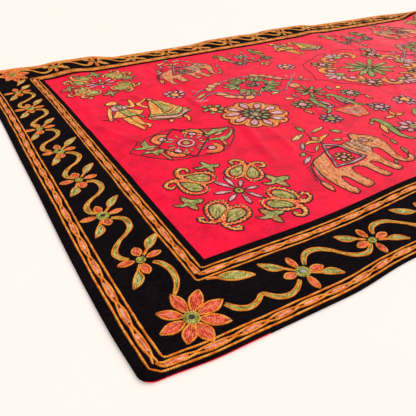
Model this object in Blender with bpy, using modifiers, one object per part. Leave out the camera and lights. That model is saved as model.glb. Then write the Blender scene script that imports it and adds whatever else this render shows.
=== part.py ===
"""Embroidered tapestry: a red cotton cloth, four black border strips and round mirror discs.

The cloth lies on a floor at z = 0, its length along X and its depth along Y, with the origin
under its middle. It is flat where it touches, and ripples lift it here and there.
"""

import math
from collections import namedtuple

import bmesh
import bpy
from mathutils import Vector
from mathutils.bvhtree import BVHTree

# Cut sizes, in metres.
FIELD_LENGTH = 1.525
FIELD_DEPTH = 0.808
SIDE_BORDER = 0.146
NEAR_BORDER = 0.138
FAR_BORDER = 0.105
LENGTH = FIELD_LENGTH + 2 * SIDE_BORDER
DEPTH = FIELD_DEPTH + NEAR_BORDER + FAR_BORDER
CORNER_RADIUS = 0.016
RED_SHOWS = 0.002  # the red cloth reaches this far past the black strips

# Thicknesses and the gap that layers keep.
RED_THICKNESS = 0.0012
BLACK_THICKNESS = 0.0010
LAYER_GAP = 0.0003
SEAM_GAP = 0.0003

# The cloth's facets.
CELL = 0.029

# Mirror discs, sewn into the middle of some flowers.
MIRROR_RADIUS = 0.0055
MIRROR_THICKNESS = 0.0010
MIRROR_SIDES = 12

# Places on the cut cloth: the edges of the field, and the line of flowers in each border.
FIELD_LEFT = -FIELD_LENGTH / 2
FIELD_RIGHT = FIELD_LENGTH / 2
FIELD_NEAR = -DEPTH / 2 + NEAR_BORDER
FIELD_FAR = DEPTH / 2 - FAR_BORDER
SIDE_FLOWERS_OUT = 0.078
NEAR_FLOWERS_OUT = 0.079
FAR_FLOWERS_OUT = 0.060
CORNER_FLOWER_OUT = 0.062

# Ripples: a crest runs from one point to another, and falls to nothing at its reach.
Ripple = namedtuple("Ripple", "start_x start_y end_x end_y reach height")
RIPPLES = (
    Ripple(-0.860, 0.505, -0.805, 0.520, 0.080, 0.0110),
    Ripple(-0.705, 0.520, -0.615, 0.520, 0.092, 0.0120),
    Ripple(-0.690, 0.470, -0.675, 0.405, 0.065, 0.0050),
    Ripple(-0.200, 0.530, -0.085, 0.520, 0.090, 0.0065),
    Ripple(0.025, 0.525, 0.160, 0.500, 0.090, 0.0085),
    Ripple(0.668, 0.430, 0.790, 0.440, 0.088, 0.0200),
    Ripple(-0.550, 0.040, -0.545, 0.310, 0.055, 0.0035),
    Ripple(-0.450, 0.060, -0.440, 0.350, 0.055, 0.0035),
    Ripple(-0.480, -0.230, -0.460, -0.030, 0.050, 0.0030),
    Ripple(-0.750, 0.050, -0.700, -0.150, 0.045, 0.0030),
    Ripple(0.090, 0.220, 0.140, 0.400, 0.065, 0.0045),
    Ripple(0.220, 0.120, 0.290, 0.330, 0.065, 0.0045),
    Ripple(0.420, -0.200, 0.470, 0.060, 0.065, 0.0040),
    Ripple(0.620, -0.490, 0.640, -0.420, 0.070, 0.0050),
)

# Drifts: the cloth doesn't lie square, and is pulled sideways around these points.
Drift = namedtuple("Drift", "x y reach shift_x shift_y")
DRIFTS = (
    Drift(-LENGTH / 2, -0.360, 0.350, -0.0050, 0.0),
    Drift(-LENGTH / 2, 0.240, 0.300, 0.0040, 0.0),
    Drift(LENGTH / 2, 0.260, 0.350, 0.0050, 0.0),
    Drift(-0.600, -DEPTH / 2, 0.300, 0.0, -0.0060),
    Drift(-0.560, FIELD_NEAR, 0.200, 0.0, -0.0050),
    Drift(0.150, DEPTH / 2, 0.300, 0.0, 0.0070),
    Drift(0.720, DEPTH / 2, 0.160, 0.0, -0.0180),
)

# Flowers in each border, counted from its left or near corner to the other corner.
SIDE_FLOWER_GAPS = 8
NEAR_FLOWER_GAPS = 13
FAR_FLOWER_GAPS = 15
NEAR_FIRST_GAP = 0.1525  # the leaf by each near corner takes up room, so its gap is longer
SIDE_MIRRORED = (2, 4, 6)
NEAR_MIRRORED = (1, 3, 5, 7, 9, 11)
FAR_MIRRORED = (1, 3, 5, 7, 9, 11, 13)
FIELD_MIRROR_IN = 0.5740  # the two mirrors of the field, from its left and right edges
FIELD_MIRROR_UP = 0.1350


def clear_scene():
    for thing in list(bpy.data.objects):
        bpy.data.objects.remove(thing, do_unlink=True)


def collection_named(name):
    collection = bpy.data.collections.new(name)
    bpy.context.scene.collection.children.link(collection)
    return collection


def material(name, colour, roughness, metallic=0.0):
    made = bpy.data.materials.new(name)
    made.use_nodes = True
    shader = made.node_tree.nodes["Principled BSDF"]
    shader.inputs["Base Color"].default_value = (*colour, 1.0)
    shader.inputs["Roughness"].default_value = roughness
    shader.inputs["Metallic"].default_value = metallic
    return made


def fade(distance, reach):
    """1 at no distance, and smoothly down to 0 at the reach and past it."""
    return math.cos(math.pi / 2 * min(distance / reach, 1.0)) ** 2


def distance_to_crest(x, y, ripple):
    start = Vector((ripple.start_x, ripple.start_y))
    along = Vector((ripple.end_x, ripple.end_y)) - start
    offset = Vector((x, y)) - start
    share = max(0.0, min(1.0, offset.dot(along) / along.length_squared))
    return (offset - share * along).length


def ripple_height(x, y):
    """How far the underside of the cloth is lifted off the floor."""
    return sum(r.height * fade(distance_to_crest(x, y, r), r.reach) for r in RIPPLES)


def drifted(x, y):
    """Where a point of the cut cloth lies on the floor."""
    shift_x = 0.0
    shift_y = 0.0
    for drift in DRIFTS:
        share = fade(math.hypot(x - drift.x, y - drift.y), drift.reach)
        shift_x += share * drift.shift_x
        shift_y += share * drift.shift_y
    return x + shift_x, y + shift_y


def rounded(x, y, inset):
    """Moves a point of the square-cornered sheet into one with round corners."""
    radius = CORNER_RADIUS - inset
    centre_x = LENGTH / 2 - CORNER_RADIUS
    centre_y = DEPTH / 2 - CORNER_RADIUS
    a = max(abs(x) - centre_x, 0.0) / radius
    b = max(abs(y) - centre_y, 0.0) / radius
    if a == 0.0 or b == 0.0:
        return x, y
    out_x = centre_x + radius * a * math.sqrt(1 - b * b / 2)
    out_y = centre_y + radius * b * math.sqrt(1 - a * a / 2)
    return math.copysign(out_x, x), math.copysign(out_y, y)


def grid_lines(outer, fold_lines):
    """Lines across the whole cloth, shared by every layer so that their facets match."""
    half = outer / 2
    fixed = {-half, half}
    for inset in (RED_SHOWS, (RED_SHOWS + CORNER_RADIUS) / 2, CORNER_RADIUS):
        fixed |= {-half + inset, half - inset}
    fixed = sorted(fixed | set(fold_lines))
    lines = []
    for low, high in zip(fixed, fixed[1:]):
        count = max(1, round((high - low) / CELL))
        lines += [low + (high - low) * i / count for i in range(count)]
    return lines + [fixed[-1]]


def lines_between(lines, low, high):
    """The shared lines inside one piece of cloth, with its own two edges."""
    clear = 2 * SEAM_GAP
    inner = [line for line in lines if low + clear < line < high - clear]
    return [low, *inner, high]


def cloth(name, x_lines, y_lines, inset, lift, thickness, finish, group):
    """A sheet on the given lines: its underside follows the ripples, lifted over what is below."""
    mesh = bpy.data.meshes.new(name)
    sheet = bmesh.new()
    columns = len(x_lines) - 1
    rows = len(y_lines) - 1
    bmesh.ops.create_grid(sheet, x_segments=columns, y_segments=rows, size=1.0)
    for vertex in sheet.verts:
        column = round((vertex.co.x + 1) / 2 * columns)
        row = round((vertex.co.y + 1) / 2 * rows)
        x, y = rounded(x_lines[column], y_lines[row], inset)
        height = ripple_height(x, y)
        vertex.co = (*drifted(x, y), height + lift)
    sheet.to_mesh(mesh)
    sheet.free()
    piece = bpy.data.objects.new(name, mesh)
    group.objects.link(piece)
    mesh.materials.append(finish)
    facets = piece.modifiers.new("facets", "TRIANGULATE")
    facets.quad_method = "FIXED"
    wall = piece.modifiers.new("thickness", "SOLIDIFY")
    wall.thickness = thickness
    wall.offset = 1.0
    return piece


def surface_of(piece):
    bpy.context.view_layer.update()
    return BVHTree.FromObject(piece, bpy.context.evaluated_depsgraph_get())


def surface_point(surface, x, y):
    point, normal, _, _ = surface.ray_cast(Vector((x, y, 1.0)), Vector((0.0, 0.0, -1.0)))
    return point, normal


def lift_to_clear(surface, middle, turn):
    """How much higher a tilted disc goes so that its rim also clears the cloth's facets."""
    lift = 0.0
    for side in range(MIRROR_SIDES):
        angle = 2 * math.pi * side / MIRROR_SIDES
        rim = Vector((math.cos(angle), math.sin(angle), 0.0)) * MIRROR_RADIUS
        rim.z = -MIRROR_THICKNESS / 2
        rim = middle + turn @ rim
        below, _ = surface_point(surface, rim.x, rim.y)
        lift = max(lift, below.z + LAYER_GAP - rim.z)
    return lift


def mirror_disc(name, x, y, surface, finish, group):
    """A round mirror lying on the cloth, tilted as the cloth is."""
    x, y = drifted(x, y)
    point, normal = surface_point(surface, x, y)
    turn = normal.to_track_quat("Z", "Y")
    middle = point + normal * (LAYER_GAP + MIRROR_THICKNESS / 2)
    middle.z += lift_to_clear(surface, middle, turn)
    bpy.ops.mesh.primitive_cylinder_add(
        vertices=MIRROR_SIDES, radius=MIRROR_RADIUS, depth=MIRROR_THICKNESS
    )
    disc = bpy.context.object
    disc.name = name
    disc.location = middle
    disc.rotation_mode = "QUATERNION"
    disc.rotation_quaternion = turn
    disc.data.materials.append(finish)
    for holder in list(disc.users_collection):
        holder.objects.unlink(disc)
    group.objects.link(disc)
    return disc


def border_strips(x_lines, y_lines, finish, group):
    """Near and far strips run the whole length, and the side strips butt against them."""
    low_x = -LENGTH / 2 + RED_SHOWS
    low_y = -DEPTH / 2 + RED_SHOWS
    half_seam = SEAM_GAP / 2
    long_x = lines_between(x_lines, low_x, -low_x)
    left_x = lines_between(x_lines, low_x, FIELD_LEFT)
    right_x = lines_between(x_lines, FIELD_RIGHT, -low_x)
    near_y = lines_between(y_lines, low_y, FIELD_NEAR - half_seam)
    far_y = lines_between(y_lines, FIELD_FAR + half_seam, -low_y)
    side_y = lines_between(y_lines, FIELD_NEAR + half_seam, FIELD_FAR - half_seam)
    spans = {
        "border_near": (long_x, near_y),
        "border_far": (long_x, far_y),
        "border_left": (left_x, side_y),
        "border_right": (right_x, side_y),
    }
    lift = RED_THICKNESS + LAYER_GAP
    strips = {}
    for name, (strip_x, strip_y) in spans.items():
        strips[name] = cloth(
            name, strip_x, strip_y, RED_SHOWS, lift, BLACK_THICKNESS, finish, group
        )
    return strips


def side_flower_places(x):
    """Flowers up a side border, from its near corner to its far corner."""
    start = FIELD_NEAR - NEAR_FLOWERS_OUT
    end = FIELD_FAR + FAR_FLOWERS_OUT
    step = (end - start) / SIDE_FLOWER_GAPS
    return [(x, start + step * i) for i in range(SIDE_FLOWER_GAPS + 1)]


def near_flower_places(y):
    """Flowers along the near border: the first and last gap are longer."""
    start = FIELD_LEFT - CORNER_FLOWER_OUT
    first = start + NEAR_FIRST_GAP
    step = -2 * first / (NEAR_FLOWER_GAPS - 2)
    between = [first + step * i for i in range(NEAR_FLOWER_GAPS - 1)]
    return [(x, y) for x in (start, *between, -start)]


def far_flower_places(y):
    start = FIELD_LEFT - CORNER_FLOWER_OUT
    step = -2 * start / FAR_FLOWER_GAPS
    return [(start + step * i, y) for i in range(FAR_FLOWER_GAPS + 1)]


def mirror_places():
    """Where each mirror goes, and the piece of cloth that carries it."""
    near = near_flower_places(FIELD_NEAR - NEAR_FLOWERS_OUT)
    far = far_flower_places(FIELD_FAR + FAR_FLOWERS_OUT)
    left = side_flower_places(FIELD_LEFT - SIDE_FLOWERS_OUT)
    right = side_flower_places(FIELD_RIGHT + SIDE_FLOWERS_OUT)
    field_x = FIELD_LEFT + FIELD_MIRROR_IN
    field_y = FIELD_NEAR + FIELD_MIRROR_UP
    places = {
        "mirror_corner_near_left": ("border_near", near[0]),
        "mirror_corner_near_right": ("border_near", near[-1]),
        "mirror_corner_far_left": ("border_far", far[0]),
        "mirror_corner_far_right": ("border_far", far[-1]),
        "mirror_field_left": ("field_cloth", (field_x, field_y)),
        "mirror_field_right": ("field_cloth", (-field_x, field_y)),
    }
    rows = (
        ("near", near, NEAR_MIRRORED),
        ("far", far, FAR_MIRRORED),
        ("left", left, SIDE_MIRRORED),
        ("right", right, SIDE_MIRRORED),
    )
    for side, flowers, mirrored in rows:
        for index in mirrored:
            places[f"mirror_{side}_{index:02d}"] = (f"border_{side}", flowers[index])
    return places


def tapestry():
    clear_scene()
    group = collection_named("embroidered_tapestry")
    red = material("red_cotton", (0.84, 0.012, 0.045), 0.9)
    black = material("black_cotton", (0.006, 0.004, 0.006), 0.92)
    glass = material("mirror_glass", (0.75, 0.77, 0.78), 0.08, 0.9)
    x_lines = grid_lines(LENGTH, (FIELD_LEFT, FIELD_RIGHT))
    y_lines = grid_lines(DEPTH, (FIELD_NEAR, FIELD_FAR))
    field = cloth("field_cloth", x_lines, y_lines, 0.0, 0.0, RED_THICKNESS, red, group)
    pieces = {"field_cloth": field, **border_strips(x_lines, y_lines, black, group)}
    surfaces = {name: surface_of(piece) for name, piece in pieces.items()}
    for name, (carrier, (x, y)) in mirror_places().items():
        mirror_disc(name, x, y, surfaces[carrier], glass, group)


tapestry()
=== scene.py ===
import math

import bpy
import numpy as np
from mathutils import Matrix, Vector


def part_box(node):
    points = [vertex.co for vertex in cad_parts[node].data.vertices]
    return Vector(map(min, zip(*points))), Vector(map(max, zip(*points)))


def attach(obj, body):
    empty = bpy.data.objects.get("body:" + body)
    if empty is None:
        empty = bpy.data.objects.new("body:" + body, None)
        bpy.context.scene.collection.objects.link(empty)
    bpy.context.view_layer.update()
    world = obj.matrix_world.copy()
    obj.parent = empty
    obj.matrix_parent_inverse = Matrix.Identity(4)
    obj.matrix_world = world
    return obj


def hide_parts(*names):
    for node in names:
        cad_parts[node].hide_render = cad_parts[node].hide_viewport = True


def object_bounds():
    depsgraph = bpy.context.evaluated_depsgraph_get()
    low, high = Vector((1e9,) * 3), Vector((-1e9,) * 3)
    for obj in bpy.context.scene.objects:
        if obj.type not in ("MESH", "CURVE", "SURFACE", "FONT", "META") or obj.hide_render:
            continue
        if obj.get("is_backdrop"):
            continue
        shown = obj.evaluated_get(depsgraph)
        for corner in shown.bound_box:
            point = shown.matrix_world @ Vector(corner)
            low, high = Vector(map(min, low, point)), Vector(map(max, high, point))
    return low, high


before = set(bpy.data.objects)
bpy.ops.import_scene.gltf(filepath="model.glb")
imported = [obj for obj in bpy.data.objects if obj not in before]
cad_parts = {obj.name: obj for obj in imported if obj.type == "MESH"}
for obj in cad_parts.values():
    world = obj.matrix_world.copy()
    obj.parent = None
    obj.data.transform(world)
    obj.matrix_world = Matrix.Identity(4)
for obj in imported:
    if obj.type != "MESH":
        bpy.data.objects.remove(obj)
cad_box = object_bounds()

# An embroidered tapestry: a red cotton cloth with black cotton borders, laid out loose on a floor.
# It is worked all over in chain stitch, with small mirrors held in rings of thread.
# Lengths are metres, and the motifs are drawn in millimetres.
MM = 0.001

# Cut sizes, the same as the solids have.
FIELD_LENGTH = 1.525
FIELD_DEPTH = 0.808
SIDE_BORDER = 0.146
NEAR_BORDER = 0.138
FAR_BORDER = 0.105
LENGTH = FIELD_LENGTH + 2 * SIDE_BORDER
DEPTH = FIELD_DEPTH + NEAR_BORDER + FAR_BORDER
CORNER_RADIUS = 0.016
HAIRLINE = 0.0002  # how much red shows on the worn edge, where the black strips have spread
RED_EDGE_END = -0.765  # the near edge shows its red from the near left corner to here
TURNED_CELLS = 2  # the narrow cells of the hem, which the black covers where it is turned over the edge
RED_THICKNESS = 0.0012
BLACK_THICKNESS = 0.0010
LAYER_GAP = 0.0003
SEAM_GAP = 0.0003
FIELD_LEFT = -FIELD_LENGTH / 2
FIELD_RIGHT = FIELD_LENGTH / 2
FIELD_NEAR = -DEPTH / 2 + NEAR_BORDER
FIELD_FAR = DEPTH / 2 - FAR_BORDER
BLACK_UNDERSIDE = RED_THICKNESS + LAYER_GAP
BLACK_TOP = BLACK_UNDERSIDE + BLACK_THICKNESS

# The flowers' places in each border, the same as the mirrors of the solids have.
SIDE_FLOWERS_OUT = 0.078
NEAR_FLOWERS_OUT = 0.079
FAR_FLOWERS_OUT = 0.060
CORNER_FLOWER_OUT = 0.062
SIDE_FLOWER_GAPS = 8
NEAR_FLOWER_GAPS = 13
FAR_FLOWER_GAPS = 15
NEAR_FIRST_GAP = 0.1525
FAR_FLOWER_SIZE = 0.74  # the far border is narrower
FAR_CORNER_SIZE = 0.9
MIRROR_RADIUS = 0.0055
MIRROR_THICKNESS = 0.0010

# Ripples: start x and y, end x and y, reach, height.
RIPPLES = (
    (-0.860, 0.505, -0.805, 0.520, 0.080, 0.0110),
    (-0.705, 0.520, -0.615, 0.520, 0.092, 0.0120),
    (-0.690, 0.470, -0.675, 0.405, 0.065, 0.0050),
    (-0.200, 0.530, -0.085, 0.520, 0.090, 0.0065),
    (0.025, 0.525, 0.160, 0.500, 0.090, 0.0085),
    (0.668, 0.430, 0.790, 0.440, 0.088, 0.0200),
    (-0.550, 0.040, -0.545, 0.310, 0.055, 0.0035),
    (-0.450, 0.060, -0.440, 0.350, 0.055, 0.0035),
    (-0.480, -0.230, -0.460, -0.030, 0.050, 0.0030),
    (-0.750, 0.050, -0.700, -0.150, 0.045, 0.0030),
    (0.090, 0.220, 0.140, 0.400, 0.065, 0.0045),
    (0.220, 0.120, 0.290, 0.330, 0.065, 0.0045),
    (0.420, -0.200, 0.470, 0.060, 0.065, 0.0040),
    (0.620, -0.490, 0.640, -0.420, 0.070, 0.0050),
)

# Soft creases in the red field, too small for the solids: the same columns.
CREASES = (
    (-0.7180, 0.3300, -0.7400, 0.1900, 0.0140, 0.0042),
    (-0.6960, 0.3210, -0.7440, 0.0870, 0.0120, 0.0039),
    (-0.7460, 0.0760, -0.7000, -0.0440, 0.0140, 0.0045),
    (-0.7560, -0.1440, -0.7400, -0.2360, 0.0130, 0.0030),
    (-0.4900, -0.0950, -0.5240, -0.2190, 0.0160, 0.0045),
    (-0.4520, -0.1160, -0.4680, -0.2070, 0.0130, 0.0042),
    (-0.7220, -0.3300, -0.7120, -0.3650, 0.0120, 0.0030),
    (-0.6450, -0.1690, -0.6460, -0.2200, 0.0130, 0.0027),
    (-0.5080, 0.0300, -0.4980, 0.3600, 0.0150, 0.0042),
    (-0.5700, 0.0600, -0.6100, 0.2000, 0.0140, 0.0030),
    (-0.7000, -0.2900, -0.6500, -0.3600, 0.0130, 0.0024),
    (-0.6200, -0.3500, -0.5600, -0.3200, 0.0130, 0.0024),
    (-0.3300, 0.2200, -0.1600, 0.2600, 0.0150, 0.0033),
    (-0.2930, -0.0740, -0.3010, -0.1080, 0.0130, 0.0027),
    (-0.1300, -0.1900, -0.0200, -0.0700, 0.0160, 0.0033),
    (-0.0800, 0.2450, 0.1800, 0.2900, 0.0150, 0.0036),
    (0.1300, 0.1700, 0.2200, 0.4000, 0.0150, 0.0039),
    (0.3300, 0.1500, 0.4200, 0.3700, 0.0150, 0.0039),
    (0.3000, -0.3500, 0.4400, -0.2100, 0.0150, 0.0033),
    (0.5600, -0.0500, 0.6100, 0.1700, 0.0140, 0.0036),
    (0.6900, -0.3000, 0.7300, -0.1000, 0.0140, 0.0033),
)

# Drifts: the cloth is pulled sideways around x and y, out to a reach, by a shift in x and in y.
DRIFTS = (
    (-LENGTH / 2, -0.360, 0.350, -0.0050, 0.0),
    (-LENGTH / 2, 0.240, 0.300, 0.0040, 0.0),
    (LENGTH / 2, 0.260, 0.350, 0.0050, 0.0),
    (-0.600, -DEPTH / 2, 0.300, 0.0, -0.0060),
    (-0.560, FIELD_NEAR, 0.200, 0.0, -0.0050),
    (0.150, DEPTH / 2, 0.300, 0.0, 0.0070),
    (0.720, DEPTH / 2, 0.160, 0.0, -0.0180),
    (-LENGTH / 2, -DEPTH / 2, 0.095, 0.0020, 0.0070),
    (-0.545, -DEPTH / 2, 0.110, 0.0, 0.0070),
)

# Puckers that the stitches draw up: the size of one, its height, and the seed of its pattern.
PUCKERS = ((0.052, 0.00035, 3), (0.021, 0.00022, 5), (0.011, 0.00010, 9))
CLOTH_CELL = 0.0068  # the sheets' facets
HEM = 0.0022  # how far in from its edge a sheet is pressed thinner
HEM_EDGE = 0.0008  # the outer one of the hem's two cells
HEM_PRESS = 0.42  # the share of its thickness that the hem loses at the edge
NEAR_EDGE = 0.012  # how far in the near edge's cells and wall are looked for, past its drifts

# Chain stitch. Most lines are drawn 2.0 to 2.5 mm wide, and filled shapes are rows side by side.
ROW_PITCH = 2.2 * MM
ROW_WIDTH = 2.4 * MM
LINE_WIDTH = 2.4 * MM
EDGE_WIDTH = 2.5 * MM
FINE_WIDTH = 2.0 * MM
CROWN = 0.9 * MM  # how high a cord of stitches stands
SUNK = 0.30 * MM  # how deep its edges sink into the cloth
OUTLINE_LIFT = 0.25 * MM  # how far an outline stands above what it goes round
LAYER_LIFT = 0.45 * MM  # and a shape above the one it is sewn over
TRIM_LIFT = 0.5 * MM  # thin lines over a filled shape
TOP_LIFT = 0.6 * MM  # and lines that cross those
PETAL_EDGE = 2.3 * MM  # the outlines of the border's flowers, and of its vines
VINE_EDGE = 2.1 * MM
LINK = 3.0 * MM  # one link of the chain
STITCH_STEP = 1.5 * MM  # how finely a line is followed
HAND_SWING = 0.5 * MM  # how far a hand-sewn line wanders, over about 12 mm
HAND_CELL = 0.012
HAND_WIDTHS = (0.84, 1.16)  # how much a line's width and height vary
HAND_HEIGHTS = (0.9, 1.1)
END_WIDTH = 0.6  # how far a line narrows and sinks at its ends
END_HEIGHT = 0.35
TINY = 1e-9

rng = np.random.default_rng(26)


def fade(distance, reach):
    """1 at no distance, and smoothly down to 0 at the reach and past it."""
    return np.cos(math.pi / 2 * np.minimum(distance / reach, 1.0)) ** 2


def crest_height(x, y, rows):
    """How high crests lift the cloth: each falls away evenly on both sides of its line."""
    height = np.zeros_like(x)
    for start_x, start_y, end_x, end_y, reach, top in rows:
        run_x = end_x - start_x
        run_y = end_y - start_y
        share = ((x - start_x) * run_x + (y - start_y) * run_y) / (run_x**2 + run_y**2)
        share = np.clip(share, 0.0, 1.0)
        distance = np.hypot(x - start_x - share * run_x, y - start_y - share * run_y)
        height += top * fade(distance, reach)
    return height


def uneven(x, y, cell, seed):
    """Soft random hills from 0 to 1 over the plane, one cell apart."""
    count = 256
    hills = np.random.default_rng(seed).uniform(0.0, 1.0, (count, count))
    column = np.floor(x / cell).astype(int)
    row = np.floor(y / cell).astype(int)
    a = x / cell - column
    b = y / cell - row
    a = a * a * (3 - 2 * a)
    b = b * b * (3 - 2 * b)
    near_left = hills[row % count, column % count]
    near_right = hills[row % count, (column + 1) % count]
    far_left = hills[(row + 1) % count, column % count]
    far_right = hills[(row + 1) % count, (column + 1) % count]
    near = near_left + (near_right - near_left) * a
    far = far_left + (far_right - far_left) * a
    return near + (far - near) * b


def lay(x, y, above):
    """Where points of the cut cloth lie on the floor, so far above the red cloth's underside."""
    height = crest_height(x, y, RIPPLES) + crest_height(x, y, CREASES)
    turned_x = 0.8 * x + 0.6 * y
    turned_y = 0.8 * y - 0.6 * x
    for cell, top, seed in PUCKERS:
        height += top * uneven(turned_x, turned_y, cell, seed)
    shift_x = np.zeros_like(x)
    shift_y = np.zeros_like(x)
    for centre_x, centre_y, reach, by_x, by_y in DRIFTS:
        share = fade(np.hypot(x - centre_x, y - centre_y), reach)
        shift_x += share * by_x
        shift_y += share * by_y
    return np.stack([x + shift_x, y + shift_y, height + above], -1)


def rounded(x, y, inset):
    """Points of a square-cornered sheet, moved into one with round corners."""
    radius = CORNER_RADIUS - inset
    centre_x = LENGTH / 2 - CORNER_RADIUS
    centre_y = DEPTH / 2 - CORNER_RADIUS
    a = np.maximum(np.abs(x) - centre_x, 0.0) / radius
    b = np.maximum(np.abs(y) - centre_y, 0.0) / radius
    corner = (a > 0) & (b > 0)
    a = np.minimum(a, 1.0)
    b = np.minimum(b, 1.0)
    out_x = np.copysign(centre_x + radius * a * np.sqrt(1 - b * b / 2), x)
    out_y = np.copysign(centre_y + radius * b * np.sqrt(1 - a * a / 2), y)
    return np.where(corner, out_x, x), np.where(corner, out_y, y)


# Materials


def colour(code):
    """An sRGB hex colour as linear red, green, blue and alpha."""
    parts = [int(code[i : i + 2], 16) / 255 for i in (1, 3, 5)]
    linear = [p / 12.92 if p <= 0.04045 else ((p + 0.055) / 1.055) ** 2.4 for p in parts]
    return (*linear, 1.0)


def connect(tree, node, inputs):
    """Sets or links a node's inputs. A node given as a value is linked by its first output."""
    for socket, value in inputs.items():
        if isinstance(value, bpy.types.Node):
            value = value.outputs[0]
        if isinstance(value, bpy.types.NodeSocket):
            tree.links.new(value, node.inputs[socket])
        else:
            node.inputs[socket].default_value = value


def add(tree, kind, inputs=None, **settings):
    """Adds one shader node, with its settings, and sets or links its inputs."""
    made = tree.nodes.new("ShaderNode" + kind)
    for name, value in settings.items():
        setattr(made, name, value)
    connect(tree, made, inputs or {})
    return made


def new_material(name):
    made = bpy.data.materials.new(name)
    made.use_nodes = True
    return made, made.node_tree, made.node_tree.nodes["Principled BSDF"]


def plain_weave_cotton(name, main, light, dark, mottle, streak, sheen, roughness):
    """Plain-weave cotton, pressed after dyeing: a soft sheen, a fine grid of threads, uneven colour partly
    painted as shade and sheen.

    The real threads are 0.4 mm apart. They are drawn 1.3 mm apart, the finest that shows.
    """
    made, tree, shader = new_material(name)
    place = add(tree, "TexCoord").outputs["Object"]
    axes = add(tree, "SeparateXYZ", {0: place})
    thread = 1.3 * MM
    patch = 45 * MM
    fibre = 6 * MM
    slub = 30 * MM
    per_thread = 2 * math.pi / thread
    warp = add(tree, "Math", {0: axes.outputs[0], 1: per_thread}, operation="MULTIPLY")
    warp = add(tree, "Math", {0: warp}, operation="SINE")
    weft = add(tree, "Math", {0: axes.outputs[1], 1: per_thread}, operation="MULTIPLY")
    weft = add(tree, "Math", {0: weft}, operation="SINE")
    weave = add(tree, "Math", {0: warp, 1: weft}, operation="MULTIPLY")
    patches = add(tree, "TexNoise", {"Vector": place, "Scale": 1 / patch, "Detail": 5.0, "Roughness": 0.6})
    slanted = add(tree, "Mapping", {"Vector": place, "Rotation": (0, 0, 0.6), "Scale": (1.0, 3.2, 1.0)})
    fibres = add(tree, "TexNoise", {"Vector": slanted, "Scale": 1 / fibre, "Detail": 5.0, "Roughness": 0.8})
    slubs = add(tree, "Mapping", {"Vector": place, "Scale": (1.0, 14.0, 1.0)})
    slubs = add(tree, "TexNoise", {"Vector": slubs, "Scale": 1 / slub, "Detail": 3.0})
    smooth = {"interpolation_type": "SMOOTHSTEP"}
    # Darker patches: partly uneven dye, partly painted shade of small puckers and creases.
    dye_and_shade = add(tree, "MapRange", {0: patches, 1: 0.32, 2: 0.56, 3: 0.0, 4: mottle}, **smooth)
    # Lighter streaks along the fibres: partly their own colour, partly painted sheen.
    fibres_and_sheen = add(tree, "MapRange", {0: fibres, 1: 0.42, 2: 0.74, 3: 0.0, 4: streak}, **smooth)
    base = add(tree, "Mix", {0: dye_and_shade, 6: colour(dark), 7: colour(main)}, data_type="RGBA")
    base = add(tree, "Mix", {0: fibres_and_sheen, 6: base.outputs[2], 7: colour(light)}, data_type="RGBA")
    bump = add(tree, "Bump", {"Height": weave, "Strength": 0.35, "Distance": 0.12 * MM})
    bump = add(tree, "Bump", {"Height": slubs, "Normal": bump, "Strength": 0.7, "Distance": 0.7 * MM})
    bump = add(tree, "Bump", {"Height": fibres, "Normal": bump, "Strength": 0.9, "Distance": 1.6 * MM})
    connect(tree, shader, {"Base Color": base.outputs[2], "Normal": bump})
    connect(tree, shader, {"Roughness": roughness, "IOR": 1.45, "Specular IOR Level": sheen})
    return made


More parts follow.
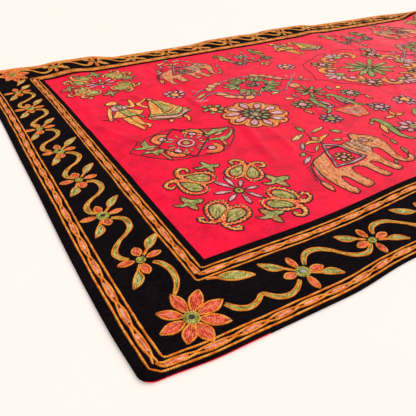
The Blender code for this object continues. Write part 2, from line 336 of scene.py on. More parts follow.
def chain_stitched_cotton(name, main, light, dark):
    """Six-strand cotton worked in chain stitch: beads of thread with painted shade between them, and
    painted highlight and shade along each thread.

    A real link is about 2.4 mm long. It is drawn 3 mm long, the finest that shows.
    """
    made, tree, shader = new_material(name)
    seam = add(tree, "UVMap", uv_map="stitch")
    seam = add(tree, "SeparateXYZ", {0: seam})
    aside = add(tree, "Math", {0: seam.outputs[1], 1: 0.5}, operation="SUBTRACT")
    aside = add(tree, "Math", {0: aside}, operation="ABSOLUTE")
    links = add(tree, "Math", {0: seam.outputs[0], 1: 1 / LINK}, operation="MULTIPLY")
    slant = add(tree, "Math", {0: aside, 1: 0.9, 2: links}, operation="MULTIPLY_ADD")
    phase = add(tree, "Math", {0: slant}, operation="FRACT")
    phase = add(tree, "Math", {0: phase, 1: math.pi}, operation="MULTIPLY")
    strand = add(tree, "Math", {0: phase}, operation="SINE")
    reach = add(tree, "MapRange", {0: strand, 1: 0.0, 2: 0.8, 3: 0.32, 4: 0.49})
    room = add(tree, "Math", {0: reach, 1: aside}, operation="SUBTRACT")
    bead = add(tree, "MapRange", {0: room, 1: -0.03, 2: 0.05, 3: 0.0, 4: 1.0})
    groove = add(tree, "MapRange", {0: aside, 1: 0.0, 2: 0.1, 3: 0.6, 4: 1.0})
    height = add(tree, "Math", {0: strand, 1: groove}, operation="MULTIPLY")
    height = add(tree, "Math", {0: height, 1: bead}, operation="MULTIPLY")
    place = add(tree, "TexCoord").outputs["Object"]
    length = {"W": seam.outputs[0], "Scale": 1 / (20 * MM), "Detail": 2.0}
    row = add(tree, "TexNoise", length, noise_dimensions="1D")
    flecks = add(tree, "TexNoise", {"Vector": place, "Scale": 1 / (3.6 * MM), "Detail": 1.0})
    # Painted highlight and shade along each thread: some stretches are mixed lighter, others darker.
    lit = add(tree, "MapRange", {0: row, 1: 0.46, 2: 0.62, 3: 0.0, 4: 0.85})
    stretch_shade = add(tree, "MapRange", {0: row, 1: 0.34, 2: 0.48, 3: 0.45, 4: 1.0})
    bright = add(tree, "MapRange", {0: flecks, 1: 0.54, 2: 0.68, 3: 0.0, 4: 0.8})
    dull = add(tree, "MapRange", {0: flecks, 1: 0.32, 2: 0.46, 3: 0.45, 4: 1.0})
    # Painted shade: the darker shade is mixed in where the cord sinks, in the grooves between links and
    # rows and past its scalloped edges.
    sunk = add(tree, "MapRange", {0: height, 1: 0.0, 2: 0.36, 3: 0.0, 4: 1.0})
    share = add(tree, "Math", {0: dull, 1: stretch_shade}, operation="MULTIPLY")
    share = add(tree, "Math", {0: sunk, 1: share}, operation="MULTIPLY")
    base = add(tree, "Mix", {0: lit, 6: colour(main), 7: colour(light)}, data_type="RGBA")
    base = add(tree, "Mix", {0: bright, 6: base.outputs[2], 7: colour(light)}, data_type="RGBA")
    base = add(tree, "Mix", {0: share, 6: colour(dark), 7: base.outputs[2]}, data_type="RGBA")
    bump = add(tree, "Bump", {"Height": height, "Strength": 0.7, "Distance": 0.5 * MM})
    connect(tree, shader, {"Base Color": base.outputs[2], "Normal": bump})
    connect(tree, shader, {"Roughness": 0.65, "IOR": 1.5, "Specular IOR Level": 0.2})
    return made


def silvered_glass():
    """Thin blown glass, silvered behind and cut by hand: grey, a little tarnished and wavy."""
    made, tree, shader = new_material("silvered_glass")
    place = add(tree, "TexCoord").outputs["Object"]
    spots = add(tree, "TexNoise", {"Vector": place, "Scale": 1 / (3 * MM), "Detail": 3.0})
    share = add(tree, "MapRange", {0: spots, 1: 0.4, 2: 0.66, 3: 0.0, 4: 1.0})
    base = add(tree, "Mix", {0: share, 6: colour("#66686a"), 7: colour("#40403f")}, data_type="RGBA")
    bump = add(tree, "Bump", {"Height": spots, "Strength": 0.3, "Distance": 0.3 * MM})
    connect(tree, shader, {"Base Color": base.outputs[2], "Normal": bump})
    connect(tree, shader, {"Metallic": 1.0, "Roughness": 0.2})
    return made


def painted_floor():
    """A smooth pale painted floor, matt, with barely any unevenness."""
    made, tree, shader = new_material("painted_floor")
    place = add(tree, "TexCoord").outputs["Object"]
    clouds = add(tree, "TexNoise", {"Vector": place, "Scale": 3.0, "Detail": 2.0})
    base = add(tree, "Mix", {0: clouds, 6: colour("#faeee8"), 7: colour("#faede5")}, data_type="RGBA")
    connect(tree, shader, {"Base Color": base.outputs[2], "Roughness": 0.9, "Specular IOR Level": 0.1})
    return made


# Thread colours: the main shade, its lighter and its darker one. The darker one is also painted shade in
# the grooves of the cord, and the lighter one painted highlight along it.
THREAD_SHADES = {
    "orange": ("#ff8e1e", "#ffb24c", "#c8580c"),
    "coral": ("#fb5632", "#ff9674", "#8f2a18"),
    "olive": ("#a89f36", "#d2cd6a", "#4a4710"),
    "leaf": ("#b2aa4c", "#e0d890", "#565218"),
    "green": ("#a2a24e", "#ced28a", "#484a1c"),
    "rose": ("#f08a66", "#ffbc9c", "#b4502e"),
    "pink": ("#f4a6aa", "#ffd6d4", "#a8505c"),
    "mauve": ("#c69292", "#e8c2be", "#6c3e40"),
    "peach": ("#fe9a5a", "#ffcc9c", "#b0541e"),
    "straw": ("#eeb65e", "#ffe4a8", "#8a6428"),
    "amber": ("#ffb048", "#ffdc88", "#ee6620"),
    "charcoal": ("#232120", "#3e3a36", "#0f0e0d"),
}


# Sheets of cloth


def mesh_piece(name, vertices, faces, materials):
    mesh = bpy.data.meshes.new(name)
    mesh.from_pydata(np.asarray(vertices).tolist(), [], np.asarray(faces).tolist())
    for one in materials:
        mesh.materials.append(one)
    mesh.shade_smooth()
    piece = bpy.data.objects.new(name, mesh)
    bpy.context.scene.collection.objects.link(piece)
    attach(piece, "root")
    return piece


def cloth_lines(low, high):
    """Even lines across a sheet, with two more close to each edge for its turned hem."""
    count = max(2, round((high - low - 2 * HEM) / CLOTH_CELL))
    inner = np.linspace(low + HEM, high - HEM, count + 1)
    return np.concatenate([[low, low + HEM_EDGE], inner, [high - HEM_EDGE, high]])


def cloth_piece(name, span_x, span_y, inset, underside, thickness, material, slot):
    """A thin sheet laid on the ripples, its edge turned and pressed a little thinner."""
    x, y = np.meshgrid(cloth_lines(*span_x), cloth_lines(*span_y))
    rows, columns = x.shape
    edge = np.minimum(np.minimum(x - span_x[0], span_x[1] - x), np.minimum(y - span_y[0], span_y[1] - y))
    press = HEM_PRESS * thickness * (1 - np.clip(edge / HEM, 0.0, 1.0)) ** 2
    x, y = rounded(x, y, inset)
    top = lay(x, y, underside + thickness - press)
    under = lay(x, y, underside)
    under[..., 2] = np.maximum(under[..., 2], 0.0)
    vertices = np.concatenate([top.reshape(-1, 3), under.reshape(-1, 3)])
    index = np.arange(rows * columns).reshape(rows, columns)
    cells = np.stack([index[:-1, :-1], index[:-1, 1:], index[1:, 1:], index[1:, :-1]], -1).reshape(-1, 4)
    rim = np.concatenate([index[0, :-1], index[:-1, -1], index[-1, :0:-1], index[:0:-1, 0]])
    after = np.roll(rim, -1)
    lower = rows * columns
    wall = np.stack([rim, rim + lower, after + lower, after], -1)
    faces = np.concatenate([cells, cells[:, ::-1] + lower, wall])
    piece = mesh_piece(name, vertices, faces, [material])
    flat = cloth_map(x, y, cells, rim, after)
    layer = piece.data.uv_layers.new(name="OFBake")
    layer.data.foreach_set("uv", flat.ravel().astype(np.float32))
    return piece


def cloth_map(x, y, cells, rim, after):
    """Both faces of a sheet laid out flat, one beside the other, with its thin edge round the upper one."""
    used = 0.97  # the share of the map's square that the two faces fill
    apart = 1.05  # how far the lower face is moved, in widths of the upper one
    margin = 0.01
    rim_width = 0.002
    wide = np.ptp(x)
    deep = np.ptp(y)
    beside = deep > wide
    scale = used / (max(deep, 2 * apart * wide) if beside else max(wide, 2 * apart * deep))
    upper = np.stack([x - x.min(), y - y.min()], -1).reshape(-1, 2) * scale + margin
    step = (apart * wide * scale, 0.0) if beside else (0.0, apart * deep * scale)
    middle = upper.mean(0)
    outer = upper + rim_width * np.sign(upper - middle)
    wall = np.stack([upper[rim], outer[rim], outer[after], upper[after]], 1)
    return np.concatenate([upper[cells], upper[cells[:, ::-1]] + step, wall])


def cloths():
    # The lighter red is partly painted sheen, and the darker red partly painted shade.
    red = plain_weave_cotton("red_dyed_cotton", "#ff0036", "#ff3658", "#de002e", 1.0, 0.6, 0.06, 0.36)
    black = plain_weave_cotton("black_dyed_cotton", "#0e090c", "#2a2024", "#090508", 1.0, 0.5, 0.02, 0.9)
    half_x = LENGTH / 2
    half_y = DEPTH / 2
    field = cloth_piece(
        "red_cotton_cloth", (-half_x, half_x), (-half_y, half_y), 0.0, 0.0, RED_THICKNESS, red, "red_cotton"
    )
    field.data.materials.append(black)
    rows = len(cloth_lines(-half_y, half_y)) - 1
    columns = len(cloth_lines(-half_x, half_x)) - 1
    for face in field.data.polygons:
        # The black is turned over the red edge everywhere but by the near left corner.
        row, column = divmod(face.index % (rows * columns), columns)
        rim = min(row, rows - 1 - row, column, columns - 1 - column) < TURNED_CELLS
        at_edge = rim or face.index >= 2 * rows * columns
        turned_over = face.center.y > -half_y + NEAR_EDGE or face.center.x > RED_EDGE_END
        if at_edge and turned_over:
            face.material_index = 1
    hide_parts("field_cloth")
    low_x = -half_x + HAIRLINE
    low_y = -half_y + HAIRLINE
    seam = SEAM_GAP / 2
    spans = {
        "border_near": ((low_x, -low_x), (low_y, FIELD_NEAR - seam)),
        "border_far": ((low_x, -low_x), (FIELD_FAR + seam, -low_y)),
        "border_left": ((low_x, FIELD_LEFT), (FIELD_NEAR + seam, FIELD_FAR - seam)),
        "border_right": ((FIELD_RIGHT, -low_x), (FIELD_NEAR + seam, FIELD_FAR - seam)),
    }
    for node, (span_x, span_y) in spans.items():
        name = node.replace("border", "black_strip")
        layer = (HAIRLINE, BLACK_UNDERSIDE, BLACK_THICKNESS)
        strip = cloth_piece(name, span_x, span_y, *layer, black, "black_cotton")
        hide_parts(node)


# Mirrors


# A mirror's rings from its face to its back, as shares of its radius and of its thickness.
MIRROR_RINGS = ((0.62, 1.0), (0.93, 0.94), (1.0, 0.6), (1.0, 0.1), (0.95, 0.0))
MIRROR_SIDES = 40
SHARP_EDGE = 40  # degrees


def mirror_discs():
    """Each mirror is a thin disc with a ground edge, lying on the cloth and tilted as it is."""
    glass = silvered_glass()
    around = np.linspace(0.0, 2 * math.pi, MIRROR_SIDES, endpoint=False)
    side = np.arange(MIRROR_SIDES)
    after = np.roll(side, -1)
    between = np.stack([side, side + MIRROR_SIDES, after + MIRROR_SIDES, after], -1)
    last = (len(MIRROR_RINGS) - 1) * MIRROR_SIDES
    faces = [tuple(quad) for first in range(0, last, MIRROR_SIDES) for quad in (between + first).tolist()]
    faces += [tuple(side.tolist()), tuple((last + side[::-1]).tolist())]
    for node in sorted(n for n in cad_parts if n.startswith("mirror")):
        low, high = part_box(node)
        x = (low.x + high.x) / 2
        y = (low.y + high.y) / 2
        tilt = (high.z - low.z - MIRROR_THICKNESS) / (2 * MIRROR_RADIUS)
        slope_x, slope_y = cloth_slope(x, y, tilt)
        vertices = []
        for share, height in MIRROR_RINGS:
            rim_x = MIRROR_RADIUS * share * np.cos(around)
            rim_y = MIRROR_RADIUS * share * np.sin(around)
            rise = low.z + MIRROR_THICKNESS * height + slope_x * rim_x + slope_y * rim_y
            rise += MIRROR_RADIUS * math.hypot(slope_x, slope_y)
            vertices.append(np.stack([x + rim_x, y + rim_y, rise], -1))
        mesh = bpy.data.meshes.new(node + "_disc")
        mesh.from_pydata(np.concatenate(vertices).tolist(), [], faces)
        mesh.materials.append(glass)
        mesh.shade_smooth()
        mesh.set_sharp_from_angle(angle=math.radians(SHARP_EDGE))
        disc = bpy.data.objects.new(node + "_disc", mesh)
        bpy.context.scene.collection.objects.link(disc)
        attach(disc, "root")
        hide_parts(node)


def cloth_slope(x, y, tilt):
    """Which way the cloth leans at a point, made as steep as the solid mirror there."""
    step = 0.004
    level = 1e-4
    around_x = np.array([x - step, x + step, x, x])
    around_y = np.array([y, y, y - step, y + step])
    height = crest_height(around_x, around_y, RIPPLES)
    slope_x = (height[1] - height[0]) / (2 * step)
    slope_y = (height[3] - height[2]) / (2 * step)
    steep = math.hypot(slope_x, slope_y)
    if steep < level:
        return 0.0, 0.0
    return slope_x * tilt / steep, slope_y * tilt / steep


# Needlework


def spin(angle):
    """The matrix that turns a point by an angle."""
    return np.array([[math.cos(angle), -math.sin(angle)], [math.sin(angle), math.cos(angle)]])


class Spot:
    """Where in a piece of needlework a motif is worked: a turn, a size and a place for its millimetres."""

    def __init__(self, work, x, y, turn=0.0, size=1.0, flip=False):
        side = -1.0 if flip else 1.0
        self.work = work
        self.frame = MM * size * spin(math.radians(turn)) @ np.diag([side, 1.0])
        self.middle = np.array([x, y])

    def at(self, points):
        """Points in this spot's millimetres, as metres on the cloth."""
        return np.asarray(points, float) @ self.frame.T + self.middle

    def inner(self, x, y, turn=0.0, size=1.0, flip=False):
        """A spot inside this one, so many millimetres from its middle."""
        made = Spot(self.work, 0.0, 0.0, turn, size, flip)
        made.frame = self.frame @ made.frame / MM
        made.middle = self.at((x, y))
        return made

    def sew(self, points, thread, width, lift=0.0):
        """Works a line of stitches through points in this spot's millimetres."""
        self.work.run(self.at(points), thread, width, lift)


class Needlework:
    """One piece of embroidery: runs of chain stitch that lie on the cloth's face."""

    def __init__(self, name, face):
        self.name = name
        self.face = face
        self.runs = []

    def run(self, points, thread, width, lift=0.0):
        """Adds a line of stitches through points on the cloth, in metres."""
        steps = np.linalg.norm(np.diff(points, axis=0), axis=1)
        points = points[np.concatenate([[True], steps > 1e-5])]
        if len(points) > 1:
            self.runs.append((worked(points), thread, width, lift))


def looped(points):
    """A closed line's points, with the first one again at the end."""
    return np.concatenate([points, points[:1]])


def lengths_along(points):
    """How far along a line each of its points is."""
    return np.concatenate([[0.0], np.cumsum(np.linalg.norm(np.diff(points, axis=0), axis=1))])


def sideways(points):
    """At each point of a line, the direction to its left."""
    heading = np.gradient(points, axis=0)
    heading /= np.maximum(np.linalg.norm(heading, axis=1, keepdims=True), TINY)
    return np.stack([-heading[:, 1], heading[:, 0]], -1)


def soft(points, closed=False, parts=5):
    """A soft curve through points that were given one by one."""
    points = np.asarray(points, float)
    if closed:
        ring = np.concatenate([points[-1:], points, points[:2]])
    else:
        ring = np.concatenate([[2 * points[0] - points[1]], points, [2 * points[-1] - points[-2]]])
    before, start, end, after = ring[:-3], ring[1:-2], ring[2:-1], ring[3:]
    share = np.arange(parts).reshape(-1, 1, 1) / parts
    curve = 0.5 * (
        2 * start
        + (end - before) * share
        + (2 * before - 5 * start + 4 * end - after) * share**2
        + (3 * start - before - 3 * end + after) * share**3
    )
    curve = curve.transpose(1, 0, 2).reshape(-1, 2)
    last = points[:1] if closed else points[-1:]
    return np.concatenate([curve, last])


def even_steps(points, step):
    """The same line with points a fixed step apart."""
    along = lengths_along(points)
    count = max(2, int(round(along[-1] / step)))
    marks = np.linspace(0.0, along[-1], count + 1)
    return np.stack([np.interp(marks, along, points[:, 0]), np.interp(marks, along, points[:, 1])], -1)


def worked(points):
    """A line as a hand sews it: a little unsteady, with more points where it turns."""
    fine = even_steps(points, STITCH_STEP)
    for axis, seed in ((0, 11), (1, 12)):
        fine[:, axis] += HAND_SWING * (uneven(fine[:, 0], fine[:, 1], HAND_CELL, seed) - 0.5)
    heading = np.unwrap(np.arctan2(np.diff(fine[:, 1]), np.diff(fine[:, 0])))
    longest = 6.0 * MM
    sharpest = math.radians(15)
    kept = [0]
    turned = 0.0
    travelled = 0.0
    for i in range(1, len(fine) - 1):
        turned += abs(heading[i] - heading[i - 1])
        travelled += STITCH_STEP
        if turned > sharpest or travelled >= longest:
            kept.append(i)
            turned = 0.0
            travelled = 0.0
    return fine[[*kept, len(fine) - 1]]


def tape_maps(lengths, widths, starts):
    """Where each stretch of thread lies on a square sheet, wound on in rows, for its own shades."""
    margin = 0.6 * MM
    spare = 1.03  # room for the last row
    filled = 0.985  # how much of a row is filled before the next one starts
    height = widths.max() + margin
    side = math.sqrt(lengths.sum() * height) * spare
    row = np.floor(starts / (side * filled))
    left = starts - row * side * filled
    return left / side, (left + lengths) / side, row * height / side, (row * height + widths) / side


def stitch(work, shades):
    """Turns the runs of a piece of needlework into one mesh of low rounded cords."""
    vertices = []
    faces = []
    slots = []
    stretches = []
    lengths = []
    breadths = []
    threads = sorted({run[1] for run in work.runs})
    first = 0
    for points, thread, width, lift in work.runs:
        count = len(points)
        aside = sideways(points)
        half = 0.5 * width * (CROWN + SUNK) / CROWN * rng.uniform(*HAND_WIDTHS, (count, 1))
        half[[0, -1]] *= END_WIDTH
        crown = CROWN * rng.uniform(*HAND_HEIGHTS, count) * min(1.0, width / ROW_WIDTH + 0.15)
        crown[[0, -1]] *= END_HEIGHT
        flat = np.stack([points + aside * half, points, points - aside * half], 1).reshape(-1, 2)
        edge = np.full(count, lift - SUNK)
        above = np.stack([edge, crown + lift, edge], 1).ravel()
        vertices.append(np.column_stack([flat, above + work.face]))
        ring = first + 3 * np.arange(count - 1).reshape(-1, 1)
        quads = np.array([[0, 3, 4, 1], [1, 4, 5, 2], [2, 5, 3, 0]])
        faces.append((ring.reshape(-1, 1, 1) + quads).reshape(-1, 4))
        along = lengths_along(points)
        along += rng.uniform(0.0, 1.0)
        stretches.append(np.stack([along[:-1], along[1:]], -1))
        lengths.append(np.diff(along))
        breadths.append(np.full(count - 1, width))
        slots.append(np.full(3 * (count - 1), threads.index(thread)))
        first += 3 * count
    flat = np.concatenate(vertices)
    placed = lay(flat[:, 0], flat[:, 1], flat[:, 2])
    faces = np.concatenate(faces)
    piece = mesh_piece(work.name, placed, faces, [shades[t] for t in threads])
    piece.data.polygons.foreach_set("material_index", np.concatenate(slots).astype(np.int32))
    # Each quad's corners are near-start, near-end, far-end and far-start of its stretch.
    u = np.tile(np.concatenate(stretches)[:, None, [0, 1, 1, 0]], (1, 3, 1))
    share = np.array([[0.0, 0.0, 0.5, 0.5], [0.5, 0.5, 1.0, 1.0], [1.0, 1.0, 0.0, 0.0]])
    v = np.broadcast_to(share, u.shape)
    layer = piece.data.uv_layers.new(name="stitch")
    layer.data.foreach_set("uv", np.stack([u, v], -1).ravel().astype(np.float32))
    lengths = np.concatenate(lengths)
    breadths = np.concatenate(breadths)
    starts = np.concatenate([[0.0], np.cumsum(lengths)[:-1]])
    low_u, high_u, low_v, high_v = (m.reshape(-1, 1, 1) for m in tape_maps(lengths, breadths, starts))
    u = np.where(np.array([0, 1, 1, 0]).reshape(1, 1, 4) == 0, low_u, high_u) * np.ones((1, 3, 1))
    share = np.array([[0.0, 0.0, 0.45, 0.45], [0.45, 0.45, 0.9, 0.9], [0.9, 0.9, 1.0, 1.0]])
    v = low_v + (high_v - low_v) * share
    tape = piece.data.uv_layers.new(name="OFBake")
    tape.data.foreach_set("uv", np.stack([u, v], -1).ravel().astype(np.float32))
    piece.data.update()
    return piece


def line(spot, points, thread, width=LINE_WIDTH, lift=0.0, closed=False, curved=True):
    """A line of stitches through points in a spot's millimetres."""
    if curved and len(points) > 2:
        points = soft(points, closed)
    elif closed:
        points = looped(points)
    spot.sew(points, thread, width, lift)


def rows_inside(shapes, along, pitch, inset):
    """Straight rows across the inside of closed shapes, stopping short of their edges."""
    shortest = 1.2 * MM
    turn = spin(math.atan2(along[1], along[0]))
    turned = [shape @ turn for shape in shapes]
    low = min(shape[:, 1].min() for shape in turned) + inset
    high = max(shape[:, 1].max() for shape in turned) - inset
    count = int((high - low) / pitch) + 1
    level = (low + high) / 2 - pitch * (count - 1) / 2
    found = []
    for row in range(count):
        y = level + row * pitch
        crossings = []
        for shape in turned:
            start = shape
            end = np.roll(shape, -1, 0)
            cut = (start[:, 1] > y) != (end[:, 1] > y)
            rise = end[cut, 1] - start[cut, 1]
            crossings.extend(start[cut, 0] + (y - start[cut, 1]) / rise * (end[cut, 0] - start[cut, 0]))
        crossings.sort()
        for left, right in zip(crossings[::2], crossings[1::2]):
            left += inset
            right -= inset
            if right - left > shortest:
                found.append(np.array([[left, y], [right, y]]) @ turn.T)
    return found


def zigzag(points, swing, step):
    """A line that swings from side to side about another one."""
    points = even_steps(points, step)
    side = np.where(np.arange(len(points)) % 2 == 0, swing, -swing).reshape(-1, 1)
    return points + sideways(points) * side


# Rows that swing from side to side, as in the horns
SWING_PITCH = 4.6 * MM
SWING_STEP = 2.6 * MM
SHORTEST_SWING = 4.0 * MM


def fill(spot, shapes, thread, along=(1, 0), lift=0.0, inset=1.0, swing=0.0):
    """Fills closed shapes, less any that lie inside them, with rows of stitches side by side."""
    shapes = [spot.at(shape) for shape in shapes]
    along = spot.frame @ np.array(along, float)
    pitch = ROW_PITCH if swing == 0.0 else SWING_PITCH
    for row in rows_inside(shapes, along, pitch, inset * MM):
        if swing == 0.0:
            spot.work.run(row, thread, ROW_WIDTH, lift)
        elif np.linalg.norm(row[1] - row[0]) > SHORTEST_SWING:
            spot.work.run(zigzag(row, swing * MM, SWING_STEP), thread, ROW_WIDTH, lift)


def shape(spot, points, thread, edge, along=(1, 0), width=EDGE_WIDTH, lift=0.0, curved=True):
    """A filled shape with an outline of its own thread."""
    ring = soft(points, True)[:-1] if curved else np.asarray(points, float)
    if thread:
        fill(spot, [ring], thread, along, lift)
    if edge:
        spot.sew(looped(ring), edge, width, lift + OUTLINE_LIFT)


def body_of(spine, halves):
    """The outline of a long shape: a middle line with its half widths, round at its start."""
    middle = soft(spine)
    marks = np.linspace(0.0, 1.0, len(halves))
    half = np.interp(np.linspace(0.0, 1.0, len(middle)), marks, halves).reshape(-1, 1)
    aside = sideways(middle)
    return np.concatenate([middle + aside * half, (middle - aside * half)[::-1]])


def leaf_outline(start, end, width, belly=0.5, blunt=0.75, bend=0.0):
    """A petal or leaf from start to end along x, widest at its belly. Blunt under 1 rounds its ends."""
    share = np.linspace(0.0, 1.0, 11)
    half = width / 2 * np.sin(math.pi * share ** (math.log(0.5) / math.log(belly))) ** blunt
    middle = bend * np.sin(math.pi * share)
    x = start + (end - start) * share
    upper = np.stack([x, middle + half], -1)
    lower = np.stack([x, middle - half], -1)[-2:0:-1]
    return np.concatenate([upper, lower])


def leaf(spot, start, end, width, thread, edge="charcoal", edge_width=EDGE_WIDTH, lift=0.0, **form):
    shape(spot, leaf_outline(start, end, width, **form), thread, edge, (1, 0), edge_width, lift, False)


def circle(radius, sides=20, squash=1.0):
    angle = np.linspace(0.0, 2 * math.pi, sides, endpoint=False)
    return np.stack([radius * np.cos(angle), radius * squash * np.sin(angle)], -1)


def hoop(spot, radius, thread, width=FINE_WIDTH, lift=0.0, sides=20):
    """One plain round of stitches."""
    line(spot, circle(radius, sides), thread, width, lift, closed=True, curved=False)


def disc(spot, radius, thread, edge=None, lift=0.0, hollow=0.0):
    """A round spot worked in rings from its middle, or from a hollow left in it."""
    size = math.hypot(*spot.frame[:, 0]) / MM
    pitch = ROW_PITCH / MM / size
    inner = hollow + 0.5 * pitch if hollow else 0.55 * pitch
    reach = radius - (0.5 * pitch if edge is None else 0.8 * pitch)
    for ring in np.arange(inner, max(reach, inner) + 1e-6, pitch):
        hoop(spot, ring, thread, ROW_WIDTH, lift, 8 if ring < 3 else 18)
    if edge:
        hoop(spot, radius, edge, EDGE_WIDTH, lift + OUTLINE_LIFT)


# The rounds of thread that hold a mirror, each with its radius and lift, and the stitches across them.
MIRROR_HOOPS = ((4.9, 1.5), (6.7, 1.0), (8.6, 0.3))
MIRROR_SPOKE = ((4.6, 0.0), (9.4, 0.4))
SPOKE_LIFT = 1.15 * MM
SPOKE_TURN = 24  # degrees
HOOP_WIDTH = 2.3 * MM


def mirror_ring(spot, thread="olive"):
    """A ring of stitches that holds a mirror by its rim, raised over the glass."""
    for radius, lift in MIRROR_HOOPS:
        hoop(spot, radius, thread, HOOP_WIDTH, lift * MM, 24)
    for turn in range(0, 360, SPOKE_TURN):
        line(spot.inner(0, 0, turn), MIRROR_SPOKE, "leaf", FINE_WIDTH, SPOKE_LIFT)


def petals(spot, count, start, end, width, thread, first=0.0, lift=0.0, loose=0.05, **form):
    """A ring of petals about a spot, none quite like the next."""
    for i in range(count):
        turn = first + 360 / count * i + 60 * loose * rng.uniform(-1, 1)
        reach = end * (1 + loose * rng.uniform(-1.5, 1.0))
        broad = width * (1 + loose * rng.uniform(-2.0, 2.0))
        leaf(spot.inner(0, 0, turn), start, reach, broad, thread, lift=lift, **form)


# Borders


def round_the_field(side, near, far, turn):
    """A line that runs round the field, so far outside its edges, its corners cut by a turn."""
    left = FIELD_LEFT - side
    right = FIELD_RIGHT + side
    low = FIELD_NEAR - near
    high = FIELD_FAR + far
    corners = [(left, low), (right, low), (right, high), (left, high)]
    points = []
    for i, (x, y) in enumerate(corners):
        before = np.array(corners[i - 1]) - (x, y)
        after = np.array(corners[(i + 1) % 4]) - (x, y)
        points.append(np.array((x, y)) + turn * before / np.linalg.norm(before))
        points.append(np.array((x, y)) + turn * after / np.linalg.norm(after))
    points.append(points[0])
    return np.array(points)


def unsteady(points, seed):
    """The small wanderings of a long line sewn by hand."""
    swing = 1.6 * MM
    cell = 0.045
    points = even_steps(points, 3.0 * MM)
    for axis in (0, 1):
        points[:, axis] += swing * (uneven(points[:, 0], points[:, 1], cell, seed + axis) - 0.5)
    return points


LENS_LENGTHS = (0.038, 0.054)  # the shortest and the longest opening of the chain
LENS_ROSE = (0.17, 0.85)  # where in an opening its rose thread starts and ends
LENS_NARROW = 0.8  # half the chain's width where its lines meet, and what an opening adds, in millimetres
LENS_SWELL = 2.6
ROSE_ASIDE = 0.9


def chain_of_lenses(work, points):
    """Two wavy lines that part and meet again, with rose thread in each opening."""
    aside = sideways(points)
    along = lengths_along(points)
    marks = [0.0]
    while marks[-1] < along[-1]:
        marks.append(marks[-1] + rng.uniform(*LENS_LENGTHS))
    lens = np.searchsorted(marks, along, side="right") - 1
    marks = np.array([*marks, marks[-1] + LENS_LENGTHS[0]])
    share = (along - marks[lens]) / (marks[lens + 1] - marks[lens])
    half = (LENS_NARROW + LENS_SWELL * np.sin(math.pi * share) ** 0.8) * MM
    half *= 0.9 + 0.2 * uneven(points[:, 0], points[:, 1], 0.03, 21)
    half = half.reshape(-1, 1)
    for side in (1, -1):
        work.run(points + side * aside * half, "orange", LINE_WIDTH, OUTLINE_LIFT)
    for one in range(lens.max() + 1):
        inside = (lens == one) & (share > LENS_ROSE[0]) & (share < LENS_ROSE[1])
        if inside.sum() > 3:
            for offset in (-ROSE_ASIDE, ROSE_ASIDE):
                work.run(points[inside] + aside[inside] * offset * MM, "rose", LINE_WIDTH)


# How far outside the field each line runs at its sides, near and far, how its corners turn, and its seed.
BAND_LINES = (
    ((0.0120, 0.0140, 0.0115, 0.003), 30),
    ((0.0280, 0.0315, 0.0285, 0.003), 32),
    ((0.1145, 0.1155, 0.0835, 0.003), 34),
    ((0.1320, 0.1315, 0.0990, 0.009), 36),
)
BAND_CHAINS = (((0.0198, 0.0225, 0.0200, 0.003), 41), ((0.1235, 0.1238, 0.0912, 0.006), 43))


def bands(shades):
    """The two bands of lines that run round the border, one by the field and one by the edge."""
    work = Needlework("bands_of_chain_stitch", BLACK_TOP)
    for out, seed in BAND_LINES:
        work.run(unsteady(round_the_field(*out), seed), "orange", LINE_WIDTH, OUTLINE_LIFT)
    for out, seed in BAND_CHAINS:
        chain_of_lenses(work, unsteady(round_the_field(*out), seed))
    stitch(work, shades)


# The vine leaves one flower to the lower right and reaches the next one from its upper left.
VINE = (
    (9, -11), (21, -17), (27, -29), (25, -44), (14, -58), (2, -67), (-10, -77), (-16, -90), (-13, -102),
    (-4, -110),
)
VINE_HALVES = (1.6, 3.0, 3.7, 3.1, 1.8, 1.6, 2.9, 3.6, 2.9, 1.6)
VINE_DROP = 118  # from one flower to the next
VINE_WIDE = 2.5  # the half width from which the vine is filled


def vine(spot, spine, halves):
    """A stem of two orange lines with olive between, thick in its bends."""
    ring = body_of(spine, halves)
    half = len(ring) // 2
    sides = spot.at(ring)
    left = sides[:half]
    right = sides[half:][::-1]
    for side in (left, right[::-1]):
        spot.work.run(side, "orange", VINE_EDGE, OUTLINE_LIFT)
    middle = (left + right) / 2
    spot.work.run(middle, "olive", 2.2 * MM)
    wide = np.interp(np.linspace(0, 1, half), np.linspace(0, 1, len(halves)), halves) > VINE_WIDE
    for side in (left, right):
        inner = middle + 0.45 * (side - middle)
        for run in np.split(np.arange(half), np.flatnonzero(np.diff(wide)) + 1):
            if wide[run[0]] and len(run) > 3:
                spot.work.run(inner[run], "leaf", 1.7 * MM, -0.1 * MM)


def stemmed_leaf(spot, stem, base, reach, width, bend):
    """A leaf on a short stem of two orange lines that run on round its edge."""
    for low, high in ((1.2, 1.4), (-1.0, -0.8)):
        line(spot, [(stem, low), (base, high)], "orange", FINE_WIDTH, OUTLINE_LIFT)
    leaf(spot, base - 3, reach, width, "leaf", "orange", VINE_EDGE, belly=0.46, blunt=0.95, bend=bend)


def border_flower(spot, mirrored):
    """Four petals round an olive heart or a mirror, with a leaf on each side."""
    rows = ((2, 31, 8.8), (91, 27, 11.5), (178, 32, 9.2), (268, 28, 11.5))
    for turn, reach, width in rows:
        turn += 5 * rng.uniform(-1, 1)
        reach *= rng.uniform(0.92, 1.06)
        width *= rng.uniform(0.9, 1.12)
        petal = spot.inner(0, 0, turn)
        leaf(petal, 8.0, reach, width, "coral", "orange", PETAL_EDGE, blunt=0.7, belly=0.56)
    for turn, reach, bend in ((47, 58, 2.5), (238, 54, 3.5)):
        turn += 4 * rng.uniform(-1, 1)
        reach *= rng.uniform(0.93, 1.05)
        stemmed_leaf(spot.inner(0, 0, turn), 8.5, 24, reach, 12.5 * rng.uniform(0.9, 1.1), bend)
    if mirrored:
        mirror_ring(spot)
    else:
        disc(spot, 8.6, "olive")


